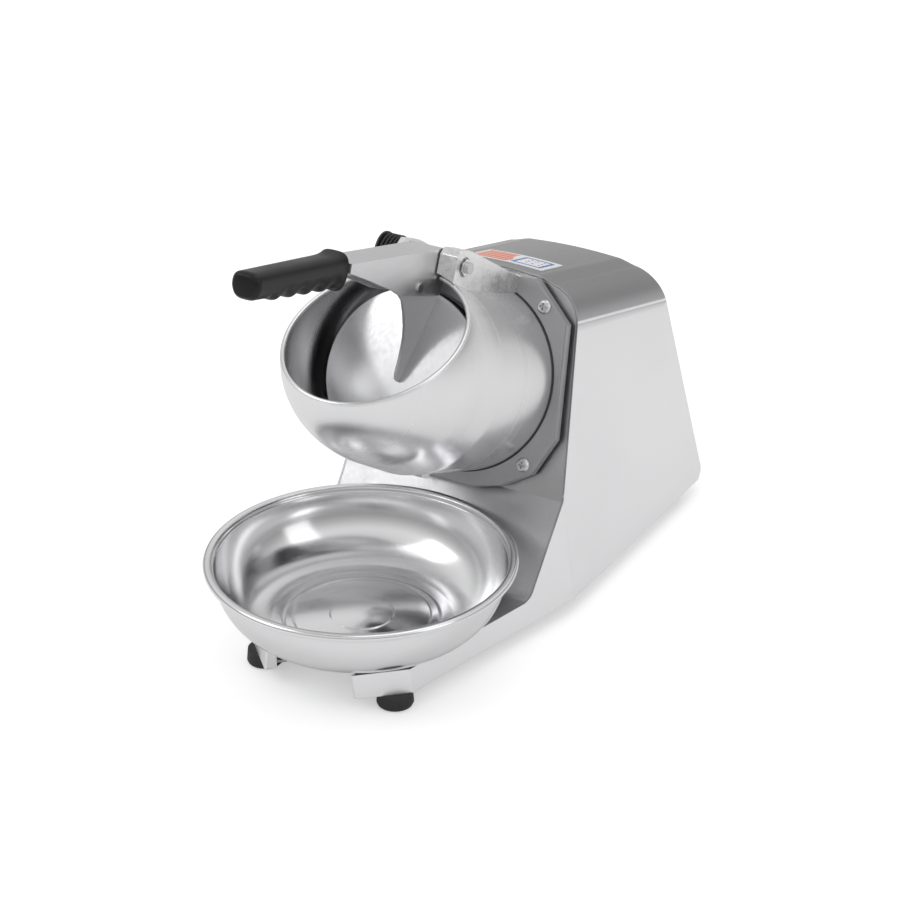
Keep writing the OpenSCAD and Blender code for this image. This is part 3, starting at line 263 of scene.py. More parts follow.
def label_print():
    """A generic sticker with a white edge: pale bars on red, and blue drops in a blue ring on white."""
    m, t = new_material("label_print")
    x, y, _ = t.split(t.coords())
    lo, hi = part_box("roof_label")
    u = t.between(x, lo[0], hi[0])
    v = t.between(y, lo[1], hi[1])
    white, blue = rgba((0.86, 0.87, 0.88)), rgba((0.10, 0.16, 0.48))

    wave = t.math("SINE", t.math("MULTIPLY", v, 6.28))
    border = t.math("ADD", t.math("MULTIPLY", wave, 0.04), 0.48)
    bars = t.math("LESS_THAN", t.math("FRACT", t.math("MULTIPLY", v, 5.0)), 0.22)
    left = t.mix(bars, rgba((0.78, 0.16, 0.07)), rgba((0.88, 0.55, 0.42)))

    across = t.math("DIVIDE", t.off(u, 0.74), 0.21)
    down = t.math("DIVIDE", t.off(v, 0.5), 0.38)
    near = t.math("MAXIMUM", across, down)
    ring = t.math("MULTIPLY", t.math("GREATER_THAN", near, 0.74), t.math("LESS_THAN", near, 0.95))
    cells = t.cells(t.mapped(t.coords(), (1, 1, 0.0)), 190.0, 0.2)
    drops = t.math("MULTIPLY", t.math("LESS_THAN", cells, 0.24), t.math("LESS_THAN", near, 0.6))
    right = t.mix(drops, t.mix(ring, white, blue), blue)

    field = t.mix(t.math("GREATER_THAN", u, border), left, right)
    edges = [t.math("GREATER_THAN", t.off(c, 0.5), inside) for c, inside in ((u, 0.46), (v, 0.43))]
    field = t.mix(t.math("MAXIMUM", *edges), field, white)
    grain = t.noise(t.coords(), 800.0, 2.0, 0.5)
    surface(t, field, t.between(grain, *MID, 0.22, 0.32), t.bump(grain, 0.05, 0.0001), 0.0)
    return m


def bowl_steel():
    """Deep-drawn steel, polished, with faint spun rings about the bowl's axis."""
    m, t = new_material("bowl_steel")
    at = t.mapped(t.coords(), shift=(0, MID_Y * MM, 0))
    x, y, z = t.split(at)
    inputs = {0: t.length(x, y), 1: t.math("MULTIPLY", x, 0.02), 2: z}
    lines = t.noise(t.add("ShaderNodeCombineXYZ", inputs).outputs[0], 900.0, 3.0, 0.6)
    cloud = t.noise(at, 14.0, 3.0, 0.5)
    col = t.mix(t.between(cloud, *MID), rgba((0.76, 0.76, 0.77)), rgba((0.80, 0.80, 0.81)))
    r = t.math("ADD", t.between(lines, *MID, 0.13, 0.17), t.between(cloud, 0.4, 0.7, 0.0, 0.015))
    r = t.math("ADD", r, t.between(t.facing_up(), 0.2, 0.9, 0.0, 0.02))
    surface(t, col, r, t.bump(lines, 0.03, 0.0001, t.bevel(0.0006)))
    return m


MATS = {
    "steel": housing_steel(),
    "front": metal("front_steel", (0.56, 0.56, 0.57), rough=0.34, streak=(1, 1, 0.03), streak_scale=500,
                   streak_depth=0.04, mottle=0.03),
    "dark_steel": metal("dark_steel", (0.42, 0.42, 0.43), rough=0.38, streak=(1, 0.05, 1), streak_scale=500),
    "rubber": plain("black_rubber", (0.022, 0.022, 0.023), rough=0.62, grain=1200, grain_depth=0.25),
    "zinc": metal("zinc_steel", (0.62, 0.62, 0.62), rough=0.32, streak=(0.05, 1, 1), streak_scale=900,
                  streak_depth=0.2),
    "drum": metal("polished_aluminium", (0.80, 0.80, 0.81), rough=0.25, streak=(0.02, 1, 1),
                  streak_scale=380, streak_depth=0.008, mottle=0.02, wave=0.03, edge=0.0009, worn=0.0,
                  spin=True, spread=0.01, line_tone=0.10),
    "flange": metal("cast_grey", (0.42, 0.42, 0.43), rough=0.40, streak_scale=350, streak_depth=0.12,
                    mottle=0.10, edge=0.0008, worn=0.35),
    "bright": metal("bright_screw", (0.80, 0.80, 0.81), rough=0.14, streak_scale=300, streak_depth=0.05,
                    mottle=0.05),
    "cast": cast("cast_aluminium", (0.80, 0.80, 0.79), rough=0.30),
    "black": plain("black_plastic", (0.025, 0.025, 0.026), rough=0.42, grain_depth=0.15),
    "spring": plain("spring_black", (0.03, 0.03, 0.03), rough=0.30, grain=700, grain_depth=0.12,
                    metallic=0.6),
    "lever": metal("lever_steel", (0.70, 0.70, 0.71), rough=0.42, streak=(1, 0.04, 1), streak_scale=900,
                   streak_depth=0.05, mottle=0.05, worn=0.5),
    "plate": metal("plate_steel", (0.66, 0.66, 0.67), rough=0.22, streak_scale=300, streak_depth=0.04),
    "bronze": metal("bronze", (0.55, 0.40, 0.20), rough=0.30, streak=(0.05, 1, 1), streak_scale=600,
                    streak_depth=0.1),
    "vinyl": plain("black_vinyl", (0.007, 0.007, 0.0075), rough=0.34, grain=500, tone=0.2,
                   Specular_IOR_Level=0.32),
    "disc": metal("disc_steel", (0.74, 0.74, 0.75), rough=0.20, streak=(0.02, 1, 1), streak_scale=700,
                  streak_depth=0.08, spin=True),
    "iron": metal("rotor_iron", (0.28, 0.26, 0.24), rough=0.45, streak=(1, 0.02, 1), streak_scale=900,
                  streak_depth=0.3),
    "paint": plain("motor_paint", (0.05, 0.05, 0.055), rough=0.35, grain=700, grain_depth=0.15,
                   metallic=0.2),
    "copper": metal("copper_winding", (0.55, 0.24, 0.11), rough=0.30, streak=(1, 0.03, 1),
                    streak_scale=900, streak_depth=0.5),
    "white": plain("white_plastic", (0.72, 0.72, 0.69), rough=0.45, grain_depth=0.1, tone=0.05),
    "red": plain("red_plastic", (0.50, 0.02, 0.02), rough=0.22, grain_depth=0.05, tone=0.1),
    "label": label_print(),
    "bowl": bowl_steel(),
}

WEARS = {
    "steel": ["hood", "arm_left", "arm_right", "rear_panel"],
    "front": ["front_panel"],
    "dark_steel": ["base_plate", "motor_cradle"],
    "rubber": ["foot_front_left", "foot_front_right", "foot_rear_left", "foot_rear_right", "drum_pad"],
    "zinc": ["foot_screws", "hinge_pin", "blade_screws", "drive_shaft", "flange_screws", "drum_bolt",
             "lever_rivet"],
    "drum": ["drum", "drum_nose"],
    "flange": ["drum_flange"],
    "bright": ["hinge_nut", "disc_nut", "front_bearing", "rear_bearing", "rear_screws"],
    "cast": ["hinge_bracket", "bearing_block", "motor_cap"],
    "black": ["spring_sleeve", "fan", "switch_frame", "cord_gland"],
    "spring": ["return_spring"],
    "lever": ["lever"],
    "plate": ["press_plate"],
    "bronze": ["lever_bush"],
    "vinyl": ["grip"],
    "disc": ["blade_disc", "blades"],
    "iron": ["rotor"],
    "paint": ["motor_can"],
    "copper": ["stator"],
    "white": ["capacitor", "terminal_block"],
    "red": ["switch_rocker"],
    "label": ["roof_label"],
    "bowl": ["bowl"],
}

for key, names in WEARS.items():
    for name in names:
        node = NODES[name]
        if not node.material_slots:
            node.data.materials.append(MATS[key])
        for material_slot in node.material_slots:
            material_slot.material = MATS[key]


# Pieces made here


def mesh_piece(name, verts, faces, material, body, crease=0.6):
    """An object that rides on a body, smooth but for edges sharper than crease, in radians."""
    me = bpy.data.meshes.new(name)
    me.from_pydata([tuple(v) for v in verts], [], faces)
    me.validate()
    me.update()
    bm = bmesh.new()
    bm.from_mesh(me)
    bmesh.ops.recalc_face_normals(bm, faces=bm.faces)
    bm.to_mesh(me)
    bm.free()
    me.shade_smooth()
    me.set_sharp_from_angle(angle=crease)
    me.materials.append(material)
    ob = bpy.data.objects.new(name, me)
    bpy.context.scene.collection.objects.link(ob)
    if body:
        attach(ob, body)
    return ob


def ring_faces(a, b, sides):
    """The faces between two rings of vertices, which start at a and at b."""
    return [(a + k, b + k, b + (k + 1) % sides, a + (k + 1) % sides) for k in range(sides)]


def tube(path, radius, sides, closed=False):
    """Vertices and faces of a tube along a list of points."""
    n = len(path)
    pts = [Vector(p) for p in path]
    verts, faces = [], []
    up = None
    for i in range(n):
        a = pts[(i - 1) % n] if closed else pts[max(i - 1, 0)]
        b = pts[(i + 1) % n] if closed else pts[min(i + 1, n - 1)]
        t = (b - a).normalized()
        if up is None:
            up = t.orthogonal().normalized()
        up = (up - t * up.dot(t)).normalized()
        w = t.cross(up)
        for k in range(sides):
            c = 2 * math.pi * k / sides
            verts.append(pts[i] + radius * (math.cos(c) * up + math.sin(c) * w))
    for i in range(n if closed else n - 1):
        faces += ring_faces(i * sides, (i + 1) % n * sides, sides)
    if not closed:
        faces.append(tuple(range(sides)))
        faces.append(tuple((n - 1) * sides + k for k in reversed(range(sides))))
    return verts, faces


# Return spring: the CAD wire with round sides and smooth curls. It winds about the pin.

COIL_R, WIRE_R, COIL_TURNS, COIL_STEPS = 11.2, 1.1, 4, 132
EAR_FACE, SIDE_GAP, COIL_GAP = 21, 0.5, 0.7
SPRING_X0 = -EAR_FACE - WIRE_R - SIDE_GAP
SPRING_X1 = SPRING_X0 - (COIL_TURNS + 0.1) * (2 * WIRE_R + COIL_GAP)
FIXED_HOLE = (PIN[0] + 23, PIN[1] - 5)
MOVING_HOLE = (PIN[0] - 35, PIN[1] + 2.2)
FIXED_END_X, MOVING_END_X = -15.0, -11.0
BEND_R, HOOK_STEPS = 2, 6


def spring_path():
    def bearing(p):
        return math.atan2(p[1] - PIN[1], p[0] - PIN[0])

    def reach(p):
        return math.acos(COIL_R / math.hypot(p[0] - PIN[0], p[1] - PIN[1]))

    def rim(a):
        return PIN[0] + COIL_R * math.cos(a), PIN[1] + COIL_R * math.sin(a)

    def hook(x_end, x, hole, a):
        """From the end in the hole, round the bend and straight on to the coil at angle a."""
        end = rim(a)
        d = math.hypot(end[0] - hole[0], end[1] - hole[1])
        run = ((end[0] - hole[0]) / d, (end[1] - hole[1]) / d)

        def on_run(at_x, s):
            return at_x, hole[0] + run[0] * s, hole[1] + run[1] * s

        pts = [(x_end, *hole)]
        for i in range(HOOK_STEPS + 1):
            b = math.pi / 2 * i / HOOK_STEPS
            pts.append(on_run(x + BEND_R * (1 - math.sin(b)), BEND_R * (1 - math.cos(b))))
        for i in range(1, HOOK_STEPS):
            pts.append(on_run(x, BEND_R + (d - BEND_R) * i / HOOK_STEPS))
        return pts

    a0 = bearing(MOVING_HOLE) + reach(MOVING_HOLE) - 2 * math.pi
    a1 = bearing(FIXED_HOLE) - reach(FIXED_HOLE)
    sweep = 2 * math.pi * COIL_TURNS + a1 - a0
    width = SPRING_X1 - SPRING_X0
    coil = []
    for i in range(COIL_STEPS + 1):
        coil.append((SPRING_X0 + width * i / COIL_STEPS, *rim(a0 + sweep * i / COIL_STEPS)))
    start = hook(MOVING_END_X, SPRING_X0, MOVING_HOLE, a0)
    end = hook(FIXED_END_X, SPRING_X1, FIXED_HOLE, a1)
    return [drum_point(*p) for p in start + coil + end[::-1]]


v, f = tube(spring_path(), WIRE_R * MM, 14)
spring = mesh_piece("wound_spring", v, f, MATS["spring"], None)
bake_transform(spring)
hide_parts("return_spring")


# Grip: a moulded sleeve with finger hollows below, a guard at its root and a closed, rounded end.
# A place on it is s, from 0 at the guard to 1 at the end, and k, of so many sides around.

LEVER_FWD, GRIP_LEN, GRIP_H, GRIP_W, GUARD_H = 209.0, 110.0, 25.0, 24.0, 6.0
GRIP_TILT = math.radians(8.2)
GRIP_REAR = -LEVER_FWD + 8
LEVER_SLOPE = 15.2 / 116.4
GRIP_MID = 91 - LEVER_SLOPE * (LEVER_FWD - 93) - 4.5
GUARD_AT, HOLLOWS_FROM, HOLLOWS_TO = 0.03, 0.10, 0.86
HOLLOW_AT, HOLLOW_STEP, HOLLOW_DEEP = 20, 18, 2.0
SKIN_FROM, END_FROM, END_REACH, END_BULGE = 0.08, 0.965, 0.056, 0.5
SQUARENESS = 0.62  # 1 is an ellipse, less is boxier


def grip_point(s, k, sides):
    a = 2 * math.pi * k / sides
    cx, cz = math.cos(a), math.sin(a)

    def guard(width):
        return GUARD_H * math.exp(-(((s - GUARD_AT) / width) ** 2))

    def ramp(way):
        return min(1.0, max(0.0, way))

    ease = ramp((s - HOLLOWS_FROM) / 0.05) * ramp((HOLLOWS_TO - s) / 0.06)
    wave = math.cos(2 * math.pi * (s * GRIP_LEN - HOLLOW_AT) / HOLLOW_STEP) * ease
    top = GRIP_H * 0.42 - 1.2 * s + 0.55 * guard(0.09)
    under = GRIP_H * 0.44 - 2.6 * s - HOLLOW_DEEP * wave + 1.2 * guard(0.06)
    half = GRIP_W / 2 * (0.94 - 0.04 * s) + 0.4 * guard(0.05)
    rounding = math.sqrt(max(0.0, 1 - ((s - END_FROM) / END_REACH) ** 2)) if s > END_FROM else 1.0
    x = half * rounding * math.copysign(abs(cx) ** SQUARENESS, cx)
    z = (top if cz > 0 else under) * rounding * math.copysign(abs(cz) ** SQUARENESS, cz)
    if cz < 0:
        x *= 1 - 0.2 * (-cz) ** SQUARENESS
    return x, -s * GRIP_LEN, z


def grip_place(x, y, z):
    y2 = y * math.cos(GRIP_TILT) - z * math.sin(GRIP_TILT)
    z2 = y * math.sin(GRIP_TILT) + z * math.cos(GRIP_TILT)
    return drum_point(x, GRIP_REAR + y2, GRIP_MID + z2)


def make_grip():
    sides, rings, round_rings, face_rings = 64, 150, 14, 8
    stations = [i / rings * END_FROM for i in range(rings + 1)]
    for i in range(1, round_rings + 1):
        stations.append(END_FROM + (1 - END_FROM) * math.sin(math.pi / 2 * i / round_rings))
    stations = [s for s in stations if s > SKIN_FROM]
    verts = [grip_place(*grip_point(s, k, sides)) for s in stations for k in range(sides)]
    # The end face closes in rings and bulges a little.
    for j in range(1, face_rings + 1):
        g = 1 - j / (face_rings + 1)
        for k in range(sides):
            x, y, z = grip_point(1.0, k, sides)
            verts.append(grip_place(x * g, y - END_BULGE * (1 - g * g), z * g))
    last = (len(stations) + face_rings - 1) * sides
    faces = []
    for start in range(0, last, sides):
        faces += ring_faces(start, start + sides, sides)
    tip = len(verts)
    verts.append(grip_place(0, -GRIP_LEN - END_BULGE, 0))
    faces += [(last + k, tip, last + (k + 1) % sides) for k in range(sides)]
    faces.append(tuple(reversed(range(sides))))
    return verts, faces


v, f = make_grip()
grip = mesh_piece("moulded_grip", v, f, MATS["vinyl"], "lever_arm")
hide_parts("grip")


# The nose: a tube that closes in a long dome, cut by the mouth, the mitre and the lever's slot.
# A skin of it is (radius, length of the dome), and a place on it is s along and theta around.

NOSE_TURN, MOUTH_TURN, MOUTH_Y = math.radians(11.0), math.radians(48.2), 170.0
NOSE_START, NOSE_LEN = 80.0, 33.0
NOSE_OUT, NOSE_IN, NOSE_MID = (70.56, 88.06), (67.5, 85.0), (69.0, 86.5)
SLOT_HALF, TUBE_IN = 14.2, 69.6
OUTLET_HALF = math.radians(32)  # the tube's underside that stays free, to each side
NOSE_AROUND, NOSE_ALONG, TUBE_ALONG = 220, 44, 20


def nose_skin_point(s, theta, skin):
    r = skin[0] if s < NOSE_LEN else skin[0] * math.sqrt(max(0.0, 1 - ((s - NOSE_LEN) / skin[1]) ** 2))
    x, y, z = r * math.cos(theta), -s, r * math.sin(theta)
    ly = -NOSE_START + y * math.cos(NOSE_TURN) + z * math.sin(NOSE_TURN)
    return x, ly, -y * math.sin(NOSE_TURN) + z * math.cos(NOSE_TURN)


def cut_at(theta, skin, turn, at_y):
    """How far along the nose a plane that leans by turn and passes (at_y, 0) cuts the skin."""
    lo, hi = -25.0, NOSE_LEN + skin[1]
    for _ in range(40):
        mid = (lo + hi) / 2
        _, ly, lz = nose_skin_point(mid, theta, skin)
        if (ly - at_y) * math.cos(turn) - lz * math.sin(turn) > 0:
            lo = mid
        else:
            hi = mid
    return lo


def nose_grid(skin, back_r, start, end):
    """One skin of the nose, which runs on over the drum's tube at radius back_r to the flange."""
    rows = []
    for i in range(NOSE_AROUND + 1):
        theta = start + (end - start) * i / NOSE_AROUND
        s0 = cut_at(theta, skin, NOSE_TURN / 2, -NOSE_START)
        s1 = cut_at(theta, skin, MOUTH_TURN, -MOUTH_Y)
        steps = [s0 + (s1 - s0) * j / NOSE_ALONG for j in range(NOSE_ALONG + 1)]
        row = [nose_skin_point(s, theta, skin) for s in steps]
        x, z = back_r * math.cos(theta), back_r * math.sin(theta)
        row = [(x, row[0][1] * j / TUBE_ALONG, z) for j in range(TUBE_ALONG)] + row
        rows.append([drum_point(*q) for q in row])
    return rows


def shell(outer, inner, keep=lambda i, j: True):
    """A closed shell from two grids of the same size. keep says which squares of the grid it has."""
    n, m = len(outer), len(outer[0])
    verts = [p for row in outer for p in row] + [p for row in inner for p in row]

    def a(i, j):
        return i * m + j

    def b(i, j):
        return n * m + i * m + j

    def kept(i, j):
        return 0 <= i < n - 1 and 0 <= j < m - 1 and keep(i, j)

    faces = []
    for i in range(n - 1):
        for j in range(m - 1):
            if not kept(i, j):
                continue
            faces.append((a(i, j), a(i + 1, j), a(i + 1, j + 1), a(i, j + 1)))
            faces.append((b(i, j), b(i, j + 1), b(i + 1, j + 1), b(i + 1, j)))
            for di, dj, p, q in ((-1, 0, (i, j), (i, j + 1)), (1, 0, (i + 1, j), (i + 1, j + 1)),
                                 (0, -1, (i, j), (i + 1, j)), (0, 1, (i, j + 1), (i + 1, j + 1))):
                if not kept(i + di, j + dj):
                    faces.append((a(*p), a(*q), b(*q), b(*p)))
    return verts, faces


def nose_shell():
    """The nose and the sides of the drum's tube in one skin. It leaves the outlet underneath free."""
    grids = []
    for skin, back_r in ((NOSE_OUT, NOSE_OUT[0]), (NOSE_IN, TUBE_IN)):
        edge = math.acos(SLOT_HALF / skin[0])
        start, end = math.pi - edge, 2 * math.pi + edge
        grids.append(nose_grid(skin, back_r, start, end))
    step = (end - start) / NOSE_AROUND

    def keep(i, j):
        return j >= TUBE_ALONG or abs(start + (i + 0.5) * step - 1.5 * math.pi) > OUTLET_HALF

    return shell(*grids, keep=keep)


v, f = nose_shell()
nose = mesh_piece("drawn_nose", v, f, MATS["drum"], "machine")
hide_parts("drum_nose")


# Rounded lip of the drum's mouth: where the mouth's plane cuts the middle of the nose's wall.

LIP_SLOT_HALF, LIP_R, LIP_STEPS = 14.6, 1.62, 180


def mouth_rim():
    edge = math.acos(LIP_SLOT_HALF / NOSE_MID[0])
    rim = []
    for i in range(LIP_STEPS + 1):
        theta = edge - (math.pi + 2 * edge) * i / LIP_STEPS
        s = cut_at(theta, NOSE_MID, MOUTH_TURN, -MOUTH_Y)
        rim.append(drum_point(*nose_skin_point(s, theta, NOSE_MID)))
    return rim


v, f = tube(mouth_rim(), LIP_R * MM, 12)
lip = mesh_piece("mouth_lip", v, f, MATS["drum"], "machine")


# Hood: the bent sheet with smooth corners. Each string runs from the front plane to the rear one.

BODY_Z, BODY_HALF, LEAN_DEG, SHEET = 11.0, 101.50, 7.4, 1.5
SIDE_LEAN = math.radians(LEAN_DEG)
SIDE_K, TAPER_K, BEND_BACK = math.tan(SIDE_LEAN), math.tan(math.radians(1.1)), 128.0
ROOF_Z, ROOF_K, CORNER_R, CROWN_R = 234.0, math.tan(math.radians(13.3)), 30.0, 400.0
FRONT_Y, FRONT_K, REAR_Y, REAR_K = 155.898, math.tan(TILT), 354.0, math.tan(math.radians(13.5))
ROOF_FRONT_Y = FRONT_Y + FRONT_K * (ROOF_Z - DRUM_AT[2])
CHAMFER = 12.0 * math.sqrt(0.5)
CORNER_DROP, CORNER_END_DEG, SIDE_PULL = 5, 82.0, 1.2
CORNER_STEPS, ROOF_STEPS, CURVE_STEPS = 10, 7, 4
NEAR_Y, FAR_Y, HOOD_ALONG = 60, 420, 24


def side_x(y, z):
    return BODY_HALF - SIDE_K * (z - BODY_Z) - TAPER_K * (y - BEND_BACK)


def spline(a, b, c, d, u):
    """The Catmull-Rom curve from b to c, with a before and d behind them."""
    return tuple(
        0.5 * (2 * q + (r - p) * u + (2 * p - 5 * q + 4 * r - s) * u * u + (3 * q - p - 3 * r + s) * u ** 3)
        for p, q, r, s in zip(a, b, c, d))


def hood_half(y, t):
    """Corner and roof of the section at y, moved in by t, as a smooth curve."""
    zr = ROOF_Z - ROOF_K * (y - ROOF_FRONT_Y)
    zc = zr - CORNER_R - CORNER_DROP
    xc = side_x(y, zc) - CORNER_R / math.cos(SIDE_LEAN)
    r = CORNER_R - t
    pts = []
    for i in range(CORNER_STEPS + 1):
        a = math.radians(LEAN_DEG + (CORNER_END_DEG - LEAN_DEG) * i / CORNER_STEPS)
        pts.append((xc + r * math.cos(a), zc + r * math.sin(a)))
    for i in range(1, ROOF_STEPS + 1):
        x = xc * (1 - i / ROOF_STEPS)
        pts.append((x, zr - t - x * x / (2 * CROWN_R)))
    before = (2 * pts[0][0] - pts[1][0] + SIDE_PULL, 2 * pts[0][1] - pts[1][1])
    pts = [before] + pts + [(-pts[-2][0], pts[-2][1])]
    out = []
    for i in range(1, len(pts) - 2):
        out += [spline(*pts[i - 1:i + 3], k / CURVE_STEPS) for k in range(CURVE_STEPS)]
    return out + [pts[-2]]


def hood_string(a, b):
    """Points on the line from a (at NEAR_Y) to b (at FAR_Y) between the front and the rear planes."""
    gx, gz = ((b[c] - a[c]) / (FAR_Y - NEAR_Y) for c in (0, 1))

    def at(y):
        return a[0] + gx * (y - NEAR_Y), a[1] + gz * (y - NEAR_Y)

    z0 = a[1] - NEAR_Y * gz
    front = max(BEND_BACK, (FRONT_Y + FRONT_K * (z0 - DRUM_AT[2])) / (1 - FRONT_K * gz))
    rear = (REAR_Y - REAR_K * (z0 - BODY_Z)) / (1 + REAR_K * gz)
    rear = min(rear, REAR_Y - CHAMFER + max(0.0, at(rear)[1] - BODY_Z))
    line = []
    for j in range(HOOD_ALONG + 1):
        y = front + (rear - front) * j / HOOD_ALONG
        x, z = at(y)
        line.append(Vector((x * MM, (y - MID_Y) * MM, z * MM)))
    return line


def hood_grid(t):
    """The sheet's skin, moved in by t: strings up the right side, over the roof, down the left side."""
    low, high = hood_half(NEAR_Y, t), hood_half(FAR_Y, t)
    inset = t / math.cos(SIDE_LEAN)
    knee_z = DRUM_AT[2] - (FRONT_Y - BEND_BACK) / FRONT_K
    foot_z = BODY_Z + CHAMFER
    levels = [BODY_Z + (foot_z - BODY_Z) * i / 3 for i in range(3)]
    levels += [foot_z + (knee_z - foot_z) * i / 6 for i in range(6)]
    pairs = [(z, z) for z in levels]
    pairs += [[knee_z + (end[0][1] - knee_z) * i / 10 for end in (low, high)] for i in range(10)]
    half = []
    for z0, z1 in pairs:
        half.append(hood_string((side_x(NEAR_Y, z0) - inset, z0), (side_x(FAR_Y, z1) - inset, z1)))
    half += [hood_string(a, b) for a, b in zip(low, high)]
    mirror = [[Vector((-q.x, q.y, q.z)) for q in row] for row in half[:-1]]
    return half + mirror[::-1]


v, f = shell(hood_grid(0.0), hood_grid(SHEET))
hood = mesh_piece("bent_hood", v, f, MATS["steel"], "machine", 0.5)
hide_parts("hood")


# Bowl: the same drawn profile turned in fine steps, with a rolled rim.

BOWL_R, BOWL_BASE, BOWL_FOOT, BOWL_T, WALL_TOP, BEAD = 110.0, 29.3, 61.0, 0.9, 47.0, 2.6
BEAD_Z, WALL_STEPS, WALL_STEP_DEG, BOWL_SIDES = 48.4, 60, 1.5, 240


def bowl_profile():
    """(radius, height) from the middle below, up the outside, over the rim and back to the middle."""

    def wall(deg, t):
        a = math.radians(deg)
        c = max(0.0, math.cos(a))
        r = BOWL_FOOT + 2 - t * 0.6 + (BOWL_R - 8 - BOWL_FOOT) * math.sin(a) ** 0.9 - t * math.sin(a)
        return r, WALL_TOP - (WALL_TOP - 1) * c ** 1.1 + t * c

    points = [(0, 1.6), (52.4, 1.6), (53.4, 1.3), (54.6, 0.3), (55.4, 0), (60.6, 0), (61.3, 0.2)]
    points += [wall(i * WALL_STEP_DEG, 0) for i in range(WALL_STEPS)]
    for deg in range(-75, 106, 10):
        a = math.radians(deg)
        points.append((BOWL_R - BEAD + BEAD * math.cos(a), BEAD_Z + BEAD * math.sin(a)))
    points += [(105.6, 50.9), (104.6, 50.5), (103.8, 49.6), (103.3, 48.2), (103.1, 46.9)]
    points += [wall(89 - i * WALL_STEP_DEG, BOWL_T) for i in range(WALL_STEPS)]
    points += [(57, 1.1), (55.6, 1.4), (54.5, 2.3), (53.6, 2.5), (49.6, 2.5), (48.8, 2.8), (48.2, 3.5)]
    points += [(47.6, 3.7), (23.4, 3.7), (22.8, 3.9), (22.2, 4.5), (21.6, 4.7), (0, 4.7)]
    return points


def turned(points, sides, centre):
    """A profile of (radius, height) that starts and ends on the axis, turned about it."""
    n = len(points)
    x0, y0, z0 = centre
    verts, faces = [], []
    for k in range(sides):
        c, s = math.cos(2 * math.pi * k / sides), math.sin(2 * math.pi * k / sides)
        verts += [Vector(((x0 + r * c) * MM, (y0 + r * s) * MM, (z0 + z) * MM)) for r, z in points]
    for k in range(sides):
        k2 = (k + 1) % sides
        for i in range(n - 1):
            quad = [k * n + i, k2 * n + i, k2 * n + i + 1, k * n + i + 1]
            if points[i][0] == 0:
                quad = [0, quad[2], quad[3]]
            elif points[i + 1][0] == 0:
                quad = [quad[0], quad[1], n - 1]
            faces.append(tuple(quad))
    return verts, faces


v, f = turned(bowl_profile(), BOWL_SIDES, (0, -MID_Y, BOWL_BASE))
bowl = mesh_piece("drawn_bowl", v, f, MATS["bowl"], "bowl_body", 0.8)
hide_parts("bowl")


# Dark seam where the drum meets its flange

SEAM_R, SEAM_Y, SEAM_WIRE, SEAM_STEPS = 70.7, -0.35, 0.75, 160

angles = [2 * math.pi * i / SEAM_STEPS for i in range(SEAM_STEPS)]
ring = [drum_point(SEAM_R * math.cos(a), SEAM_Y, SEAM_R * math.sin(a)) for a in angles]
v, f = tube(ring, SEAM_WIRE * MM, 10, closed=True)
seam = mesh_piece("drum_seam", v, f, MATS["rubber"], "machine")


# Camera at the photograph's angle

AZ, EL, FAR, LENS = math.radians(30.77), math.radians(26.79), 1.6518, 97.34
TARGET = Vector((0.05539, -0.087815, 0.16426))
back = Vector((math.sin(AZ) * math.cos(EL), -math.cos(AZ) * math.cos(EL), math.sin(EL)))
cam = bpy.data.objects.new("camera", bpy.data.cameras.new("camera"))
bpy.context.scene.collection.objects.link(cam)
cam.location = TARGET + back * FAR
cam.rotation_mode = "QUATERNION"
cam.rotation_quaternion = (-back).to_track_quat("-Z", "Y")
cam.data.sensor_width = 36.0
cam.data.lens = LENS
cam.data.clip_end = 50.0
bpy.context.scene.camera = cam


# Floor, studio light and reflections

FLOOR_HALF, FLOOR_STEPS, FLOOR_Z = 4.0, 8, -0.0001
FLOOR_GREY, GLOW_SEEN, GLOW_ALSO_MIRRORED = 0.86, 0.30, 0.12


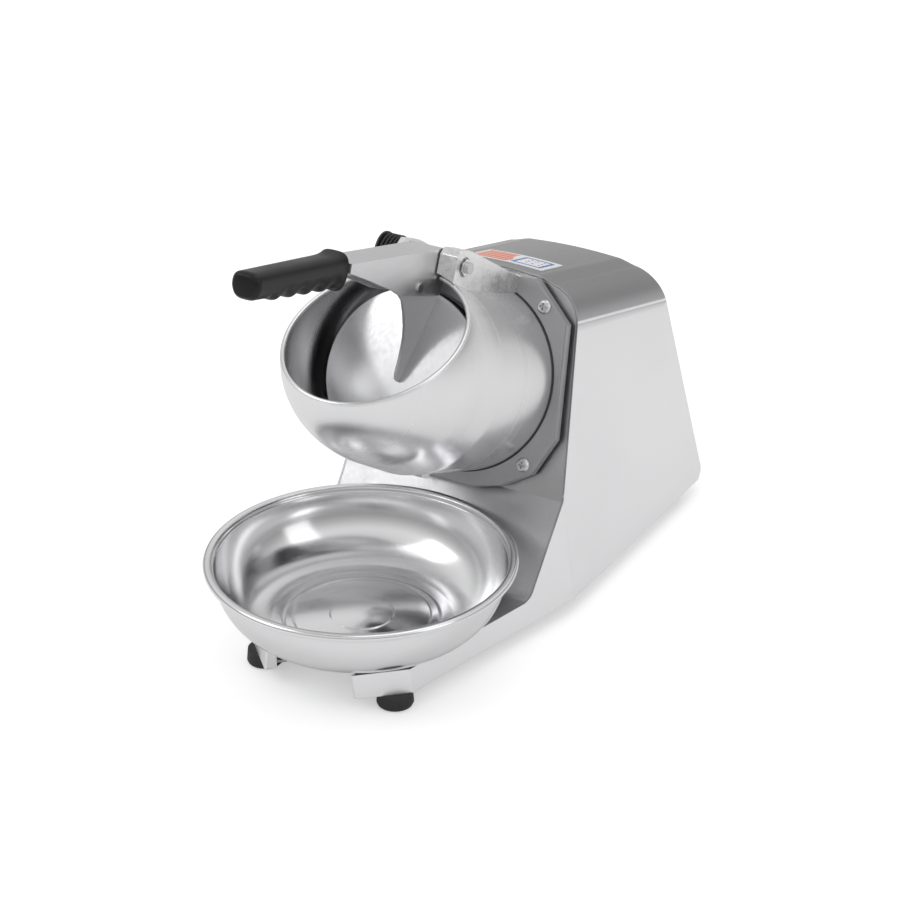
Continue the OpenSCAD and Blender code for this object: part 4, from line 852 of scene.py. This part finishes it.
def floor():
    """A white floor that glows a little for the camera, and less in reflections."""
    me = bpy.data.meshes.new("floor")
    marks = [-FLOOR_HALF + 2 * FLOOR_HALF * i / FLOOR_STEPS for i in range(FLOOR_STEPS + 1)]
    row = len(marks)
    corners = [j * row + i for j in range(FLOOR_STEPS) for i in range(FLOOR_STEPS)]
    faces = [(c, c + 1, c + row + 1, c + row) for c in corners]
    me.from_pydata([(x, y, FLOOR_Z) for y in marks for x in marks], [], faces)
    ob = bpy.data.objects.new("floor", me)
    bpy.context.scene.collection.objects.link(ob)
    m, t = new_material("floor_white")
    d = t.add("ShaderNodeBsdfDiffuse", {"Color": rgba(FLOOR_GREY)})
    path = t.add("ShaderNodeLightPath").outputs
    seen, either = path["Is Camera Ray"], t.math("MAXIMUM", path["Is Camera Ray"], path["Is Glossy Ray"])
    glow = t.math("ADD", t.math("MULTIPLY", seen, GLOW_SEEN), t.math("MULTIPLY", either, GLOW_ALSO_MIRRORED))
    e = t.add("ShaderNodeEmission", {"Color": rgba(1.0), "Strength": glow})
    out = t.add("ShaderNodeAddShader", {0: d.outputs[0], 1: e.outputs[0]})
    t.add("ShaderNodeOutputMaterial", {"Surface": out.outputs[0]})
    me.materials.append(m)


def area(name, at, aim, size, power):
    data = bpy.data.lights.new(name, "AREA")
    data.shape = "RECTANGLE"
    data.size, data.size_y = size
    data.energy = power
    ob = bpy.data.objects.new(name, data)
    bpy.context.scene.collection.objects.link(ob)
    ob.location = at
    ob.rotation_euler = (Vector(aim) - Vector(at)).to_track_quat("-Z", "Y").to_euler()
    ob.visible_camera = False


def world():
    """A studio of grey bands for the reflections, and plain white behind the part."""
    w = bpy.data.worlds.new("studio")
    bpy.context.scene.world = w
    w.use_nodes = True
    t = Nodes(w.node_tree)
    z = t.split(t.add("ShaderNodeTexCoord").outputs["Generated"])[2]
    ramp = t.add("ShaderNodeValToRGB", {"Fac": t.between(z, -1.0, 1.0)})
    stops = [(0.0, 0.85), (0.49, 0.80), (0.52, 0.45), (0.58, 0.34),
             (0.66, 0.50), (0.78, 0.86), (0.90, 0.74), (1.0, 0.46)]
    els = ramp.color_ramp.elements
    while len(els) < len(stops):
        els.new(0.5)
    for e, (p, c) in zip(els, stops):
        e.position = p
        e.color = rgba(c)
    path = t.add("ShaderNodeLightPath")
    col = t.mix(path.outputs["Is Camera Ray"], ramp.outputs["Color"], rgba(1.0))
    bg = t.add("ShaderNodeBackground", {"Color": col, "Strength": 1.0})
    t.add("ShaderNodeOutputWorld", {"Surface": bg.outputs[0]})


floor()
world()
area("key", (-1.1, -1.0, 1.5), (0, 0, 0.12), (1.0, 1.0), 6.0)
area("top", (0.2, 0.2, 1.9), (0, 0, 0.1), (1.2, 1.2), 4.5)
area("side", (1.6, -0.2, 0.9), (0, 0, 0.15), (0.7, 1.2), 2.2)

bpy.context.scene.view_settings.view_transform = "Standard"
